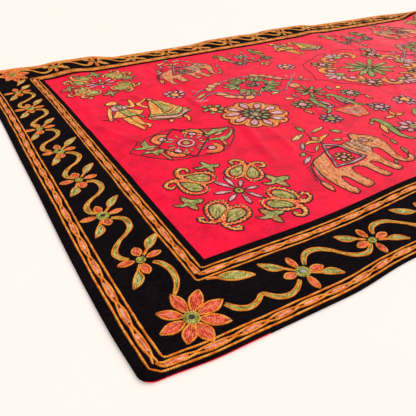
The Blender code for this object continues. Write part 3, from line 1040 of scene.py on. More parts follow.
def corner_flower(spot):
    """Eight pointed petals round a mirror."""
    rows = ((45, 16), (44, 16), (43, 14), (39, 13), (40, 15), (38, 15), (41, 17), (43, 16))
    for i, (reach, width) in enumerate(rows):
        petal = spot.inner(0, 0, 45 * i + 7 + 3 * rng.uniform(-1, 1))
        reach *= 1.0 + 0.04 * rng.uniform(-1, 1)
        leaf(petal, 7.5, reach, width, "coral", "orange", PETAL_EDGE, belly=0.52, blunt=0.95)
    mirror_ring(spot)


def flowered_border(work, flowers, turn, size, mirrored, bare_ends=False):
    """Flowers in a row, each joined to the next by a vine that heads off to its lower right."""
    for i, (x, y) in enumerate(flowers[:-1]):
        spot = Spot(work, x, y, turn, size)
        gap = math.hypot(flowers[i + 1][0] - x, flowers[i + 1][1] - y) / MM / size
        if i > 0:
            border_flower(spot, i in mirrored)
        if bare_ends and i in (0, len(flowers) - 2):
            continue
        sway = 1 + 0.06 * rng.uniform(-1, 1)
        spine = [(sway * a, b * gap / VINE_DROP + 1.5 * rng.uniform(-1, 1)) for a, b in VINE]
        vine(spot, spine, VINE_HALVES)


def side_flower_places(x):
    start = FIELD_NEAR - NEAR_FLOWERS_OUT
    step = (FIELD_FAR + FAR_FLOWERS_OUT - start) / SIDE_FLOWER_GAPS
    places = [(x, start + step * i) for i in range(SIDE_FLOWER_GAPS + 1)]
    side = math.copysign(1.0, x)
    # The flower next to the near corner sits further in, and the fifth further out.
    for i, inward in ((1, 0.009), (5, -0.008)):
        places[i] = (x - side * inward, places[i][1])
    return places


def near_flower_places():
    y = FIELD_NEAR - NEAR_FLOWERS_OUT
    start = FIELD_LEFT - CORNER_FLOWER_OUT
    first = start + NEAR_FIRST_GAP
    step = -2 * first / (NEAR_FLOWER_GAPS - 2)
    between = [first + step * i for i in range(NEAR_FLOWER_GAPS - 1)]
    return [(x, y) for x in (start, *between, -start)]


def far_flower_places():
    start = FIELD_LEFT - CORNER_FLOWER_OUT
    step = -2 * start / FAR_FLOWER_GAPS
    return [(start + step * i, FIELD_FAR + FAR_FLOWERS_OUT) for i in range(FAR_FLOWER_GAPS + 1)]


# Short vines by the corners: from the last side flower to the near corner, and from there to the first
# near flower.
SIDE_END_VINE = ((11, -11), (19, -19), (24, -36), (22, -54), (15, -68), (7, -77))
NEAR_START_VINE = (
    (42, 0), (50, -12), (62, -18), (76, -15), (88, -8), (99, -20), (114, -25), (128, -20), (140, -10),
)
END_HALVES = (1.6, 3.0, 3.4, 3.0, 2.0, 1.3)
START_HALVES = (2.2, 3.4, 3.2, 2.4, 2.0, 3.0, 3.2, 2.4, 1.6)


def corner_leaves(work, y, place, form):
    """A stemmed leaf outside the field's left and right corner, the right one turned over."""
    for x, flip in ((FIELD_LEFT, False), (FIELD_RIGHT, True)):
        stemmed_leaf(Spot(work, x, y, 0, 1.0, flip).inner(*place), 0, *form)


def borders(shades):
    near = near_flower_places()
    far = far_flower_places()
    left = side_flower_places(FIELD_LEFT - SIDE_FLOWERS_OUT)
    right = side_flower_places(FIELD_RIGHT + SIDE_FLOWERS_OUT)

    work = Needlework("near_border_flowers", BLACK_TOP)
    flowered_border(work, near, 90, 1.0, range(1, 12, 2), bare_ends=True)
    corner_flower(Spot(work, *near[0]))
    corner_flower(Spot(work, *near[-1], 90))
    vine(Spot(work, *near[0]), NEAR_START_VINE, START_HALVES)
    vine(Spot(work, *near[-1], 0, 1.0, True), NEAR_START_VINE, START_HALVES)
    corner_leaves(work, FIELD_NEAR, (-17, -33, -22), (15, 60, 16, 1.0))
    stitch(work, shades)

    work = Needlework("far_border_flowers", BLACK_TOP)
    flowered_border(work, far, 90, FAR_FLOWER_SIZE, range(1, 14, 2))
    corner_flower(Spot(work, *far[0], 0, FAR_CORNER_SIZE))
    corner_flower(Spot(work, *far[-1], 90, FAR_CORNER_SIZE))
    corner_leaves(work, FIELD_FAR, (-68, -8, 52), (12, 46, 12, 2.0))
    stitch(work, shades)

    for name, places, turn in (("left", left[::-1], 0), ("right", right, 180)):
        work = Needlework(name + "_border_flowers", BLACK_TOP)
        flowered_border(work, places, turn, 1.0, range(2, 7, 2), bare_ends=True)
        vine(Spot(work, *places[-2], turn), SIDE_END_VINE, END_HALVES)
        stitch(work, shades)


# Motifs of the field, each drawn round its own middle in millimetres.


def lens(spot, start, end, width, thread, edge="charcoal", edge_width=FINE_WIDTH, lift=0.0, **form):
    """A leaf or bud from one point to another."""
    run = np.array(end, float) - start
    inner = spot.inner(*start, math.degrees(math.atan2(run[1], run[0])))
    leaf(inner, 0, math.hypot(*run), width, thread, edge, edge_width, lift, **form)


def small_flower(spot, petal="pink", heart="amber", count=8):
    petals(spot, count, 11, 28, 12, petal, first=12, blunt=0.6)
    disc(spot, 11.5, heart, "charcoal")


def star(spot):
    """Eight slim uneven petals round an olive ring with a dark middle."""
    rays = ((117, 48), (89, 47), (49, 32), (-9, 35), (-59, 43), (-98, 41), (-148, 37), (166, 42))
    for turn, reach in rays:
        leaf(spot.inner(0, 0, turn), 9, reach, 8.0, "pink", edge_width=FINE_WIDTH, blunt=0.6, belly=0.6)
    disc(spot, 8.5, "olive", "charcoal", hollow=2.2)
    hoop(spot, 1.3, "charcoal", EDGE_WIDTH, sides=8)


def sprig(spot):
    """Four slim lobes that meet."""
    outline = (
        (-24, 11), (-14, 3), (-8, 5), (-8, 14), (-2, 23), (4, 14), (7, 6), (14, 3), (24, -4), (14, -11),
        (6, -8), (5, -15), (-1, -25), (-8, -14), (-8, -5), (-15, -5), (-24, 2),
    )
    shape(spot, outline, "green", "charcoal", (1, 0), FINE_WIDTH)


# One paisley of a pair, right of the line between them: its middle line and half widths, its curled tip's
# and its olive drop's.
PAISLEY = (
    (17, -21), (17, -18.5), (17, -13), (17, -6), (16.5, 3), (15, 12), (12.5, 20), (9.5, 28), (8, 35),
)
PAISLEY_HALVES = (0.5, 9, 15, 19, 20.5, 19, 15.5, 11.5, 7.5)
CURL = ((0.5, 7), (6, 12.5), (14, 14.8), (21.5, 12), (25, 4.5), (21, -1.5), (16.5, 1.5))
CURL_HALVES = (6, 5.0, 4.4, 4.1, 3.7, 3.1, 1.4)
DROP = ((17, -12.5), (17, -10), (16.5, -4), (15.8, 3), (14.3, 11), (12.5, 19), (10.5, 26), (9, 31))
DROP_HALVES = (0.5, 7, 11, 12.6, 11.6, 8, 4.5, 0.5)


def beside_axis(ring):
    """The stretches of a closed line that lie right of its own axis."""
    ring = looped(ring)
    cuts = np.flatnonzero(np.diff(ring[:, 0] > 0)) + 1
    return [part for part in np.split(ring, cuts) if part[0, 0] > 0 and len(part) > 2]


def paisley(spot, ripe, curl):
    """An olive drop with a wide zigzag band of amber round it, drawn out into a curled tip."""
    drop = body_of(DROP, [h * ripe for h in DROP_HALVES])
    fill(spot, [drop], "leaf", (-9, 48), inset=1.2)
    spot.sew(looped(drop), "charcoal", EDGE_WIDTH, OUTLINE_LIFT)
    spine = (*PAISLEY, *((8 + x, 35 + y * curl) for x, y in CURL))
    halves = (*PAISLEY_HALVES, *(h * (0.5 + 0.5 * curl) for h in CURL_HALVES))
    for part in beside_axis(body_of(spine, halves)):
        spot.sew(part, "charcoal", EDGE_WIDTH, OUTLINE_LIFT)
    band = body_of(spine, [max(h - 4.0, 0.3) for h in halves])
    band[:, 0] = np.maximum(band[:, 0], 2.5)
    band = zigzag(spot.at(looped(band)), 2.4 * MM, 3.6 * MM)
    spot.work.run(band, "amber", 2.9 * MM, 0.1 * MM)


def paisley_pair(spot, ripe, curl):
    """Two paisleys that share the band between them, their tips curled away from each other."""
    paisley(spot, ripe, curl)
    paisley(spot.inner(0, 0, flip=True), 0.96 * ripe, curl)


def paisley_wreath(spot):
    """Four pairs of paisleys round a star, with a sprig between each two pairs."""
    star(spot.inner(1, 2))
    pairs = (
        (129, 66, 1.0, 0.98, 1.0), (47, 54, 0.92, 0.95, 0.95), (219, 56, 0.96, 1.08, 0.55),
        (309, 58, 0.96, 0.95, 0.95),
    )
    for turn, out, size, ripe, curl in pairs:
        angle = math.radians(turn)
        paisley_pair(spot.inner(out * math.cos(angle), out * math.sin(angle), turn - 90, size), ripe, curl)
    for x, y, turn, size in ((-3, 92, 0, 0.95), (-83, 9, 5, 0.95), (72, -3, 12, 1.05), (3, -75, 10, 0.95)):
        sprig(spot.inner(x, y, turn, size))


def half_rosette(spot, size):
    """A scalloped half round of amber with a pink heart."""
    inner = spot.inner(0, 0, 0, size)
    angle = np.radians(np.linspace(-98, 98, 60))
    reach = 22 + 2.0 * np.abs(np.sin(angle * 2.7))
    ring = np.stack([reach * np.sin(angle), reach * np.cos(angle)], -1)
    inner.sew(ring, "charcoal", EDGE_WIDTH, OUTLINE_LIFT)
    for radius in (12.5, 18.0):
        arc = np.stack([radius * np.sin(angle), radius * np.cos(angle)], -1)
        spot.work.run(zigzag(inner.at(arc), 2.3 * MM, 2.5 * MM), "amber", 2.4 * MM)
    disc(inner, 8.5, "pink", "charcoal")


# The lozenge's four twigs, each of a few slim joined leaves.
TWIGS = (
    (
        (-56, 13), (-74, 10), (-98, 15), (-97, 20), (-81, 22), (-82, 32), (-74, 35), (-68, 48), (-63, 48),
        (-65, 33), (-66, 23), (-56, 20),
    ),
    (
        (-54, -1), (-72, -2), (-92, -2), (-91, -8), (-75, -11), (-75, -21), (-66, -20), (-63, -13),
        (-61, -30), (-58, -47), (-52, -45), (-54, -26), (-55, -12), (-49, -6),
    ),
    (
        (48, 2), (64, 9), (84, 9), (104, 13), (103, 20), (86, 21), (77, 28), (66, 23), (60, 25), (58, 39),
        (51, 37), (53, 21), (45, 8),
    ),
    (
        (46, -7), (62, -11), (78, -12), (93, -5), (103, 7), (108, 4), (97, -12), (83, -21), (76, -28),
        (68, -25), (68, -36), (64, -48), (58, -46), (61, -30), (57, -20), (44, -14),
    ),
)


def lozenge(spot):
    """A long medallion: an outline with a diamond, a ringed flower and half rosettes."""
    outer = (
        (-111, 11), (-90, 33), (-63, 56), (-38, 63), (-8, 71), (22, 56), (48, 43), (80, 30), (109, 21),
        (114, 14), (112, 4), (92, -26), (62, -56), (40, -65), (14, -64), (-8, -58), (-34, -55),
        (-54, -52), (-82, -28), (-104, 0),
    )
    line(spot, outer, "charcoal", 2.8 * MM, closed=True, curved=False)
    diamond = ((-56, 7), (-28, 36), (5, 69), (28, 38), (55, 6), (22, -26), (-10, -58), (-34, -28))
    line(spot, diamond, "charcoal", 2.8 * MM, TOP_LIFT, closed=True, curved=False)
    for turn in range(0, 360, 24):
        dash = spot.inner(0, 0, turn + 9 * rng.uniform(-1, 1))
        shade = ("peach", "pink", "straw", "green")[turn // 24 % 4]
        lens(dash, (22, 0), (41 * rng.uniform(0.85, 1.15), 0), 5.0, shade, edge_width=1.2 * MM, blunt=0.5)
    for radius in (18.5, 9.3):
        hoop(spot, radius, "charcoal", FINE_WIDTH, OUTLINE_LIFT)
    for radius in (16.0, 13.8):
        hoop(spot, radius, "pink", LINE_WIDTH)
    disc(spot, 8.5, "leaf", hollow=2.0)
    for x, y, turn in ((-33, 36, 43), (29, 29, -46), (-30, -24, 135), (31, -42, -140)):
        half_rosette(spot.inner(x, y, turn), 1.02)
    for start, end in (((-84, 7), (-58, 8)), ((60, -1), (87, 6))):
        lens(spot, start, end, 8, "peach", blunt=0.6)
    for twig in TWIGS:
        shape(spot, twig, "green", "charcoal", (1, 0.1), FINE_WIDTH)


ELEPHANT = (
    (-65, 2), (-60, 17), (-52, 28), (-38, 35), (-22, 40), (-8, 47), (8, 52), (36, 52), (52, 56), (66, 56),
    (74, 61), (79, 70), (86, 79), (93, 76), (98, 69), (108, 62), (117, 50), (121, 35), (118, 12),
    (110, -6), (101, -26), (96, -39), (98, -47), (105, -48), (112, -43), (117, -38), (121, -42),
    (119, -50), (110, -58), (97, -59), (87, -52), (83, -38), (86, -20), (91, 0), (87, 10), (80, 12),
    (72, 6), (67, -8), (65, -28), (67, -48), (71, -63), (64, -69), (53, -67), (49, -50), (47, -34),
    (41, -24), (34, -25), (31, -36), (33, -54), (36, -70), (28, -74), (20, -71), (17, -54), (14, -34),
    (7, -24), (-5, -22), (-13, -29), (-15, -46), (-12, -71), (-18, -79), (-32, -79), (-36, -68),
    (-37, -46), (-42, -34), (-48, -38), (-53, -56), (-50, -75), (-55, -82), (-65, -81), (-70, -62),
    (-73, -38), (-71, -16),
)
SADDLE = (
    (-34, -8), (-22, 18), (-9, 46.5), (12, 51.5), (36, 52), (36, 22), (50, -3), (38, -11), (4, -15),
    (-28, -11),
)
SADDLE_TRIM = (
    (-31, -7), (-20, 12), (-8, 42), (11, 74), (24, 64), (37, 52), (37, 22), (48, -4), (30, -10), (4, -12),
)
SADDLE_LINING = (
    (-24, -3), (-16, 12), (-4, 38), (11, 65), (22, 57), (31, 49), (31, 22), (40, 1), (28, -4), (4, -6),
)


def elephant(spot):
    """An elephant with a bordered saddle cloth, banded at its neck."""
    ring = soft(ELEPHANT, True, 4)[:-1]
    saddle = np.array(SADDLE, float)
    fill(spot, [ring, saddle], "peach", (0.12, 1.0))
    spot.sew(looped(ring), "charcoal", 2.3 * MM, OUTLINE_LIFT)
    for edge in (SADDLE_TRIM, SADDLE_LINING):
        line(spot, edge, "charcoal", FINE_WIDTH, TRIM_LIFT, closed=True, curved=False)
    for share in (0.3, 0.7):
        trim = np.array(SADDLE_TRIM) * share + np.array(SADDLE_LINING) * (1 - share)
        line(spot, trim, "mauve", 2.3 * MM, 0.2 * MM, closed=True, curved=False)
    line(spot, [(-6, 46), (14, 49), (34, 48)], "charcoal", FINE_WIDTH, TRIM_LIFT)
    blossom = spot.inner(9, 14, 0, 0.74)
    petals(blossom, 8, 9, 27, 11, "amber")
    disc(blossom, 9.5, "pink", "charcoal")
    lens(spot, (7, 54), (16, 59), 7, "amber", None)
    straps = (
        (48, "charcoal", 1.5), (52, "mauve", 3.4), (56.5, "straw", 3.0), (60, "charcoal", 1.4),
        (63.5, "mauve", 3.4), (68, "straw", 3.0), (72, "mauve", 3.4), (75.5, "charcoal", 1.5),
    )
    for x, shade, width in straps:
        strap = [(x, 55), (x, 38), (x + 2, 22), (x + 7, 6 + 0.2 * (x - 50))]
        line(spot, strap, shade, width * MM, TOP_LIFT)
    ear = spot.inner(91, 45)
    line(ear, circle(9.5, 20, 1.1), "charcoal", FINE_WIDTH, 0.7 * MM, closed=True)
    disc(ear, 8, "mauve", lift=TOP_LIFT)
    line(spot, [(100, 41), (105, 34), (101, 31), (97, 35)], "charcoal", FINE_WIDTH, 0.7 * MM)
    toes = ((-62, -74), (-56, -75), (-28, -72), (-21, -73), (24, -67), (29, -68), (57, -61), (63, -62))
    for x, y in toes:
        line(spot, [(x, y), (x, y - 6)], "charcoal", 1.4 * MM, TOP_LIFT)
    for x, y, turn in ((76, 62, 130), (79, 68, 135), (83, 74, 130)):
        line(spot.inner(x, y, turn), [(0, 0), (6, 0)], "charcoal", FINE_WIDTH, TRIM_LIFT)
    # Its tail, with hairs along it and a tuft
    line(spot, [(-58, 26), (-69, 12), (-79, -6), (-85, -28)], "charcoal", 3.0 * MM)
    line(spot, [(-62, 14), (-71, -4), (-76, -22)], "mauve", EDGE_WIDTH)
    for i in range(8):
        x = -64 - 2.5 * i
        y = 20 - 5.5 * i
        line(spot, [(x, y), (x - 14, y - 4 - 0.6 * i)], "charcoal", 2.3 * MM)
    lens(spot, (-85, -26), (-88, -60), 13, "peach", edge_width=EDGE_WIDTH, belly=0.45)
    # Leaves over the saddle, and twigs at the head and trunk
    limb(spot, ((13, 79), (5, 87), (-7, 90), (-21, 84)), (4, 5, 4.5, 1.5))
    limb(spot, ((11, 80), (25, 91), (38, 96), (53, 99)), (4, 4.5, 4, 1.2))
    lens(spot, (14, 84), (17, 108), 17, "peach")
    line(spot, [(3, 94), (13, 112), (18, 133)], "charcoal", EDGE_WIDTH)
    leaves = (
        ((9, 125), (-33, 110), 12, "straw"), ((24, 121), (67, 130), 9, "straw"),
        ((17, 130), (20, 160), 11, "green"), ((-20, 56), (4, 73), 7, "straw"),
        ((-42, 67), (-18, 96), 8, "mauve"), ((-60, 49), (-44, 61), 10, "green"),
        ((-72, 28), (-43, 44), 9, "pink"), ((38, 74), (59, 69), 10, "straw"),
        ((66, 113), (81, 91), 12, "green"), ((118, -38), (130, -12), 9, "green"),
        ((131, -2), (140, 22), 8, "green"), ((71, -54), (80, -40), 6, "green"),
    )
    for start, end, width, thread in leaves:
        lens(spot, start, end, width, thread, blunt=0.65)
    for twig in ([(61, 69), (72, 66)], [(80, 91), (88, 80)]):
        line(spot, twig, "mauve", FINE_WIDTH)
    twigs = (((-44, 64), (-42, 50), (-36, 42)), ((-38, 72), (-34, 58), (-24, 52)), ((140, 26), (143, 46)))
    for twig in twigs:
        line(spot, twig, "charcoal", FINE_WIDTH)


def rosette(spot):
    """Ten lobes of amber with a pink petal in each, round a green and pink heart."""
    angle = np.linspace(0, 2 * math.pi, 200, endpoint=False)
    reach = 60 + 14 * np.abs(np.sin(5 * angle + 0.3)) ** 0.55
    ring = np.stack([reach * np.cos(angle), reach * np.sin(angle)], -1)
    spot.sew(looped(ring), "charcoal", EDGE_WIDTH, OUTLINE_LIFT)
    for inset in (5.0, 11.0, 17.0, 23.0, 29.0):
        loop = spot.at(looped(ring * (1 - inset / 72)))
        spot.work.run(zigzag(loop, 2.1 * MM, 2.8 * MM), "amber", 2.6 * MM)
    middle_of_lobe = math.degrees((math.pi / 2 - 0.3) / 5)
    high = LAYER_LIFT + 0.3 * MM
    petals(spot, 10, 28, 66, 17, "pink", middle_of_lobe, high, 0.03, blunt=0.75, belly=0.6)
    petals(spot, 10, 14, 34, 11, "green", lift=TRIM_LIFT, loose=0.03, blunt=0.6)
    for radius, shade in ((13.0, "charcoal"), (11.0, "pink"), (8.9, "charcoal")):
        hoop(spot, radius, shade, FINE_WIDTH, TOP_LIFT)
    disc(spot, 8.0, "leaf", lift=0.4 * MM)


def wandering(spot, points):
    """A mauve line edged with charcoal."""
    line(spot, points, "mauve", 3.4 * MM, OUTLINE_LIFT)
    for aside in ((0.9, 3.0), (-0.6, -2.8)):
        line(spot, np.array(points) + aside, "charcoal", FINE_WIDTH)


def leafy_oval(spot):
    """A long wreath: mauve stems that cross at its ends, peach leaves outside, a green spray inside."""
    upper = (
        (-162, 8), (-134, 25), (-104, 20), (-78, 44), (-52, 60), (-6, 68), (34, 60), (68, 38), (104, -4),
        (126, -24), (156, -44),
    )
    lower = (
        (-160, -24), (-130, -8), (-104, -6), (-84, -12), (-62, -38), (-36, -54), (-22, -62), (-4, -44),
        (16, -56), (40, -64), (56, -64), (84, -36), (106, -20), (128, 4), (134, 18),
    )
    wandering(spot, upper)
    wandering(spot, lower)
    lobes = (
        (-110, 25, 58, 17), (-92, 42, 45, 19), (-70, 54, 30, 13), (48, 60, -70, 16), (64, 49, -45, 16),
        (76, 31, -48, 16), (87, 12, -45, 16), (-101, -19, -20, 16), (-90, -41, -18, 18),
        (-72, -52, 0, 12), (-52, -64, 15, 15),
    )
    for x, y, turn, reach in lobes:
        leaf(spot.inner(x, y, turn), -reach, reach, 20, "peach", blunt=0.5, lift=0.2 * MM)
    leaf(spot.inner(91, -52, 62), -18, 18, 30, "peach", blunt=0.4)
    lens(spot, (-166, -10), (-130, 6), 10, "straw")
    lens(spot, (0, -74), (34, -68), 10, "straw")
    lens(spot, (132, -20), (156, -8), 11, "peach")
    for x, y, turn in ((-152, -18, 200), (-140, -30, 175), (-130, 24, 140), (136, 4, 40), (118, 2, 70)):
        line(spot.inner(x, y, turn), [(0, 0), (12, 3), (26, 0)], "mauve", 2.6 * MM)
    fans = ((-28, 14, 168), (-8, 26, 110), (22, 20, 45), (32, -8, -15), (14, -22, -68), (-20, -18, -132))
    for x, y, turn in fans:
        fan = spot.inner(x, y, turn)
        for spread, reach in ((-56, 32), (-28, 42), (0, 46), (28, 42), (56, 32)):
            blade = fan.inner(0, 0, spread)
            leaf(blade, 0, reach, 9.5, "green", edge_width=FINE_WIDTH, blunt=0.6, belly=0.6)
    petals(spot.inner(6, 4), 8, 6, 20, 8, "mauve")
    disc(spot.inner(6, 4), 6.5, "olive", "charcoal")


PARROT = (
    (-8, 42), (-3, 46), (3, 43), (5, 32), (3, 16), (-2, 2), (-8, -14), (-11, -28), (-6, -42), (2, -52),
)
PARROT_HALVES = (3, 6.5, 8.0, 7.5, 8.5, 8.5, 7.0, 5.5, 4.0, 2.0)


def parrot(spot, wing="amber"):
    """A green parrot with a hooked beak, a bright wing and a long tail."""
    bird = body_of(PARROT, PARROT_HALVES)
    shape(spot, bird, "green", "charcoal", (0.2, -1), curved=False)
    lens(spot, (-8, 44), (-22, 30), 7, "leaf", bend=-2)
    lens(spot, (-4, 26), (-27, -12), 12, wing, lift=LAYER_LIFT, belly=0.45)
    lens(spot, (6, 6), (10, -18), 8, "mauve", lift=LAYER_LIFT)
    line(spot, circle(1.2, 8) + (-2, 42), "charcoal", 1.4 * MM, TOP_LIFT, closed=True)


def mirror_tree(spot):
    """A pink flower round a mirror, on a stem with a bird and leaves about it."""
    petals(spot, 8, 11, 33, 14, "pink", first=20, loose=0.04, blunt=0.6)
    mirror_ring(spot, "leaf")
    line(spot, [(2, 28), (6, 42), (8, 52)], "charcoal", EDGE_WIDTH)
    for turn, reach in ((176, 30), (72, 28), (6, 30)):
        leaf(spot.inner(12, 58, turn), -2, reach, 10, "amber")
    parrot(spot.inner(-44, 16, 0, 1.08))
    lens(spot, (50, 32), (86, 66), 18, "leaf", blunt=0.6)
    line(spot, [(14, -26), (24, -46), (20, -66), (4, -78)], "charcoal", EDGE_WIDTH)
    for x, y, turn in ((24, -46, 30), (20, -64, 200), (4, -78, 190), (12, -72, -60)):
        leaf(spot.inner(x, y, turn), 2, 24, 9, "green")


def vase(spot):
    """A flaring basket of flowers with two parrots facing each other over it."""
    basket = np.array(((-37, -18), (40, -18), (16, -74), (-17, -74)), float)
    middle = np.array((0.0, -43.0))
    for size, shade in ((0.9, "amber"), (0.7, "peach"), (0.5, "pink")):
        loop = spot.at(middle + (looped(basket) - middle) * size)
        spot.work.run(zigzag(loop, 1.9 * MM, 2.8 * MM), shade, 2.5 * MM)
    line(spot, basket, "charcoal", FINE_WIDTH, OUTLINE_LIFT, closed=True, curved=False)
    for x, shade in ((-7, "pink"), (-2, "leaf"), (3, "green"), (8, "mauve")):
        line(spot, [(x * 0.8, -62), (x * 1.3, -30)], shade, 3.0 * MM, 0.3 * MM)
    line(spot, [(0, -16), (0, 10), (2, 50), (2, 74)], "charcoal", FINE_WIDTH)
    star_flower = spot.inner(0, 98)
    petals(star_flower, 9, 6, 42, 10, "green", loose=0.08, blunt=0.6, belly=0.62)
    disc(star_flower, 6, "leaf")
    parrot(spot.inner(-42, 20, -22, 0.98, True), "mauve")
    parrot(spot.inner(34, 14, 22, 1.0), "mauve")
    for side in (False, True):
        half = spot.inner(0, 0, 0, 1.0, side)
        line(half, [(0, -8), (-26, -6), (-52, 8), (-74, 24)], "charcoal", FINE_WIDTH)
        line(half, [(-30, 40), (-46, 54), (-58, 72)], "charcoal", FINE_WIDTH)
        lens(half, (-12, 2), (-44, -2), 9, "pink")
        small_flower(half.inner(-74, 42, 0, 0.92), "green", "pink")
        lens(half, (-64, 80), (-88, 90), 13, "amber")
        lens(half, (-52, 78), (-54, 106), 10, "mauve")
        line(half, [(-86, 24), (-96, 8), (-94, -8)], "charcoal", FINE_WIDTH)
        lens(half, (-95, 16), (-90, -14), 8, "amber", bend=2)
    small_flower(spot.inner(-74, -50, 0, 0.92), "mauve", "green")
    small_flower(spot.inner(64, -56, 10, 0.92), "mauve", "pink")
    lens(spot, (-64, -24), (-58, -6), 8, "mauve")


def parrot_sprig(spot):
    """Two parrots by a leafy sprig with three flowers."""
    parrot(spot.inner(-58, 26, 16, 0.95))
    parrot(spot.inner(58, 34, -10, 0.95, True))
    line(spot, [(16, -66), (8, -30), (0, 0), (-4, 30)], "charcoal", EDGE_WIDTH)
    small_flower(spot.inner(-6, 22, 0, 0.9), "pink", "green")
    small_flower(spot.inner(-42, -28, 0, 0.8), "mauve", "green")
    small_flower(spot.inner(58, -26, 0, 0.8), "mauve", "green")
    for x, y, turn in ((4, -16, 30), (2, -22, 150), (10, -38, 24), (8, -40, 160)):
        leaf(spot.inner(x, y, turn), 2, 28, 9, "green")
    for turn in (30, 95, 160):
        leaf(spot.inner(16, -66, turn + 180), 0, 24, 8, "amber")
    leaf(spot.inner(-10, 50, 110), 0, 28, 8, "amber")
    leaf(spot.inner(16, 52, 60), 0, 28, 8, "peach")


def limb(spot, spine, halves):
    """An arm, a leg or the like, worked along its length."""
    ring = body_of(spine, halves)
    along = np.array(spine[-1], float) - spine[0]
    fill(spot, [ring], "amber", along, inset=0.7)
    spot.sew(looped(ring), "charcoal", FINE_WIDTH, OUTLINE_LIFT)


def stick_dancer(spot):
    """A plain folk figure with a flared tunic, dancing with two sticks."""
    limb(spot, ((-8, -2), (-6, -28), (0, -52), (3, -80)), (7.5, 8, 6, 4))
    limb(spot, ((9, -2), (9, -30), (11, -48), (22, -60), (14, -74)), (7, 7.5, 5.5, 5, 2.5))
    tunic = (
        (-11, 42), (13, 42), (28, 28), (42, 18), (36, 5), (26, -3), (12, -5), (-4, -3), (-16, 0),
        (-31, 8), (-24, 22), (-16, 34),
    )
    shape(spot, tunic, "amber", "charcoal", (0.1, 1))
    apron = ((-5, 40), (7, 40), (13, 20), (20, -3), (6, -5), (-2, 2), (-5, 20))
    shape(spot, apron, "leaf", "charcoal", (0, 1), FINE_WIDTH, LAYER_LIFT)
    bodice = ((-16, 40), (-17, 62), (-8, 70), (8, 70), (16, 60), (14, 40))
    shape(spot, bodice, "pink", "charcoal", (0, 1), FINE_WIDTH, 0.3 * MM)
    lens(spot, (0, 42), (1, 68), 13, "leaf", lift=LAYER_LIFT + 0.3 * MM)
    lens(spot, (22, -4), (28, -24), 8, "green")
    limb(spot, ((-19, 62), (-30, 32), (-38, 4), (-41, -8)), (5, 5, 4.5, 3))
    limb(spot, ((15, 60), (28, 48), (34, 62), (38, 90)), (5.5, 6, 5.5, 4))
    disc(spot.inner(0, 75), 9, "peach", "charcoal", lift=0.2 * MM)
    shape(spot, circle(15, 16, 0.72) + (-6, 85), "amber", "charcoal", (1, 0.1), lift=LAYER_LIFT)
    line(spot, [(-58, 9), (-44, 1), (-31, -1), (-26, -10), (-30, -20)], "charcoal", EDGE_WIDTH)
    line(spot, [(36, 90), (27, 96), (16, 101)], "charcoal", EDGE_WIDTH)


def skirt_dancer(spot):
    """A plain folk figure with a long swinging skirt."""
    limb(spot, ((-14, -50), (-16, -60), (-20, -68)), (5, 4.5, 2))
    limb(spot, ((18, -52), (20, -68), (14, -82)), (5, 4.5, 2))
    limb(spot, ((-28, 30), (-37, 48), (-38, 64), (-26, 70), (-10, 79)), (5, 5.5, 5.5, 5, 3.5))
    disc(spot.inner(-8, 66), 9, "peach", "charcoal", lift=0.2 * MM)
    skirt = (
        (-14, 60), (6, 58), (16, 36), (27, 8), (33, -10), (48, -32), (20, -50), (4, -60), (-18, -50),
        (-54, -32), (-45, -14), (-34, 6), (-26, 32),
    )
    shape(spot, skirt, "amber", "charcoal", (0.1, 1))
    middle = ((-9, 58), (1, 57), (5, 30), (13, -12), (-12, -14), (-9, 0), (-9, 30))
    shape(spot, middle, "leaf", "charcoal", (0, 1), FINE_WIDTH, LAYER_LIFT)
    sash = (
        (-44, -8), (-24, -16), (4, -26), (30, -8), (33, -18), (14, -38), (-4, -34), (-30, -22),
        (-46, -18),
    )
    shape(spot, sash, "leaf", "charcoal", (1, 0.2), FINE_WIDTH, LAYER_LIFT)
    ruffle = (
        (-44, -22), (-24, -27), (-2, -38), (12, -43), (34, -26), (42, -33), (20, -47), (4, -54),
        (-16, -46), (-44, -32),
    )
    shape(spot, ruffle, "pink", "charcoal", (0.35, 1), FINE_WIDTH, LAYER_LIFT)


HORN = ((10, 4), (26, 17), (45, 16), (57, 2), (54, -16), (40, -28), (26, -27))
HORN_HALVES = (5, 8, 9, 9, 8, 6, 2)


def half_flower(spot):
    """A fan of pink petals on a green heart, with an amber horn curling in on each side."""
    for spread, reach in ((-58, 36), (-29, 46), (2, 52), (30, 45), (58, 36)):
        leaf(spot.inner(0, 0, 90 + spread), 8, reach, 13, "pink", edge_width=FINE_WIDTH, blunt=0.6)
    shape(spot, circle(15, 16, 0.72), "leaf", "charcoal", lift=LAYER_LIFT, curved=False)
    for side in (False, True):
        horn = spot.inner(0, 0, 0, 1.0, side)
        ring = body_of(HORN, HORN_HALVES)
        horn.sew(looped(ring), "charcoal", FINE_WIDTH, OUTLINE_LIFT)
        fill(horn, [ring], "amber", (0.35, 1), inset=1.0, swing=1.6)
        disc(horn.inner(33, -5), 9.5, "pink", "charcoal")


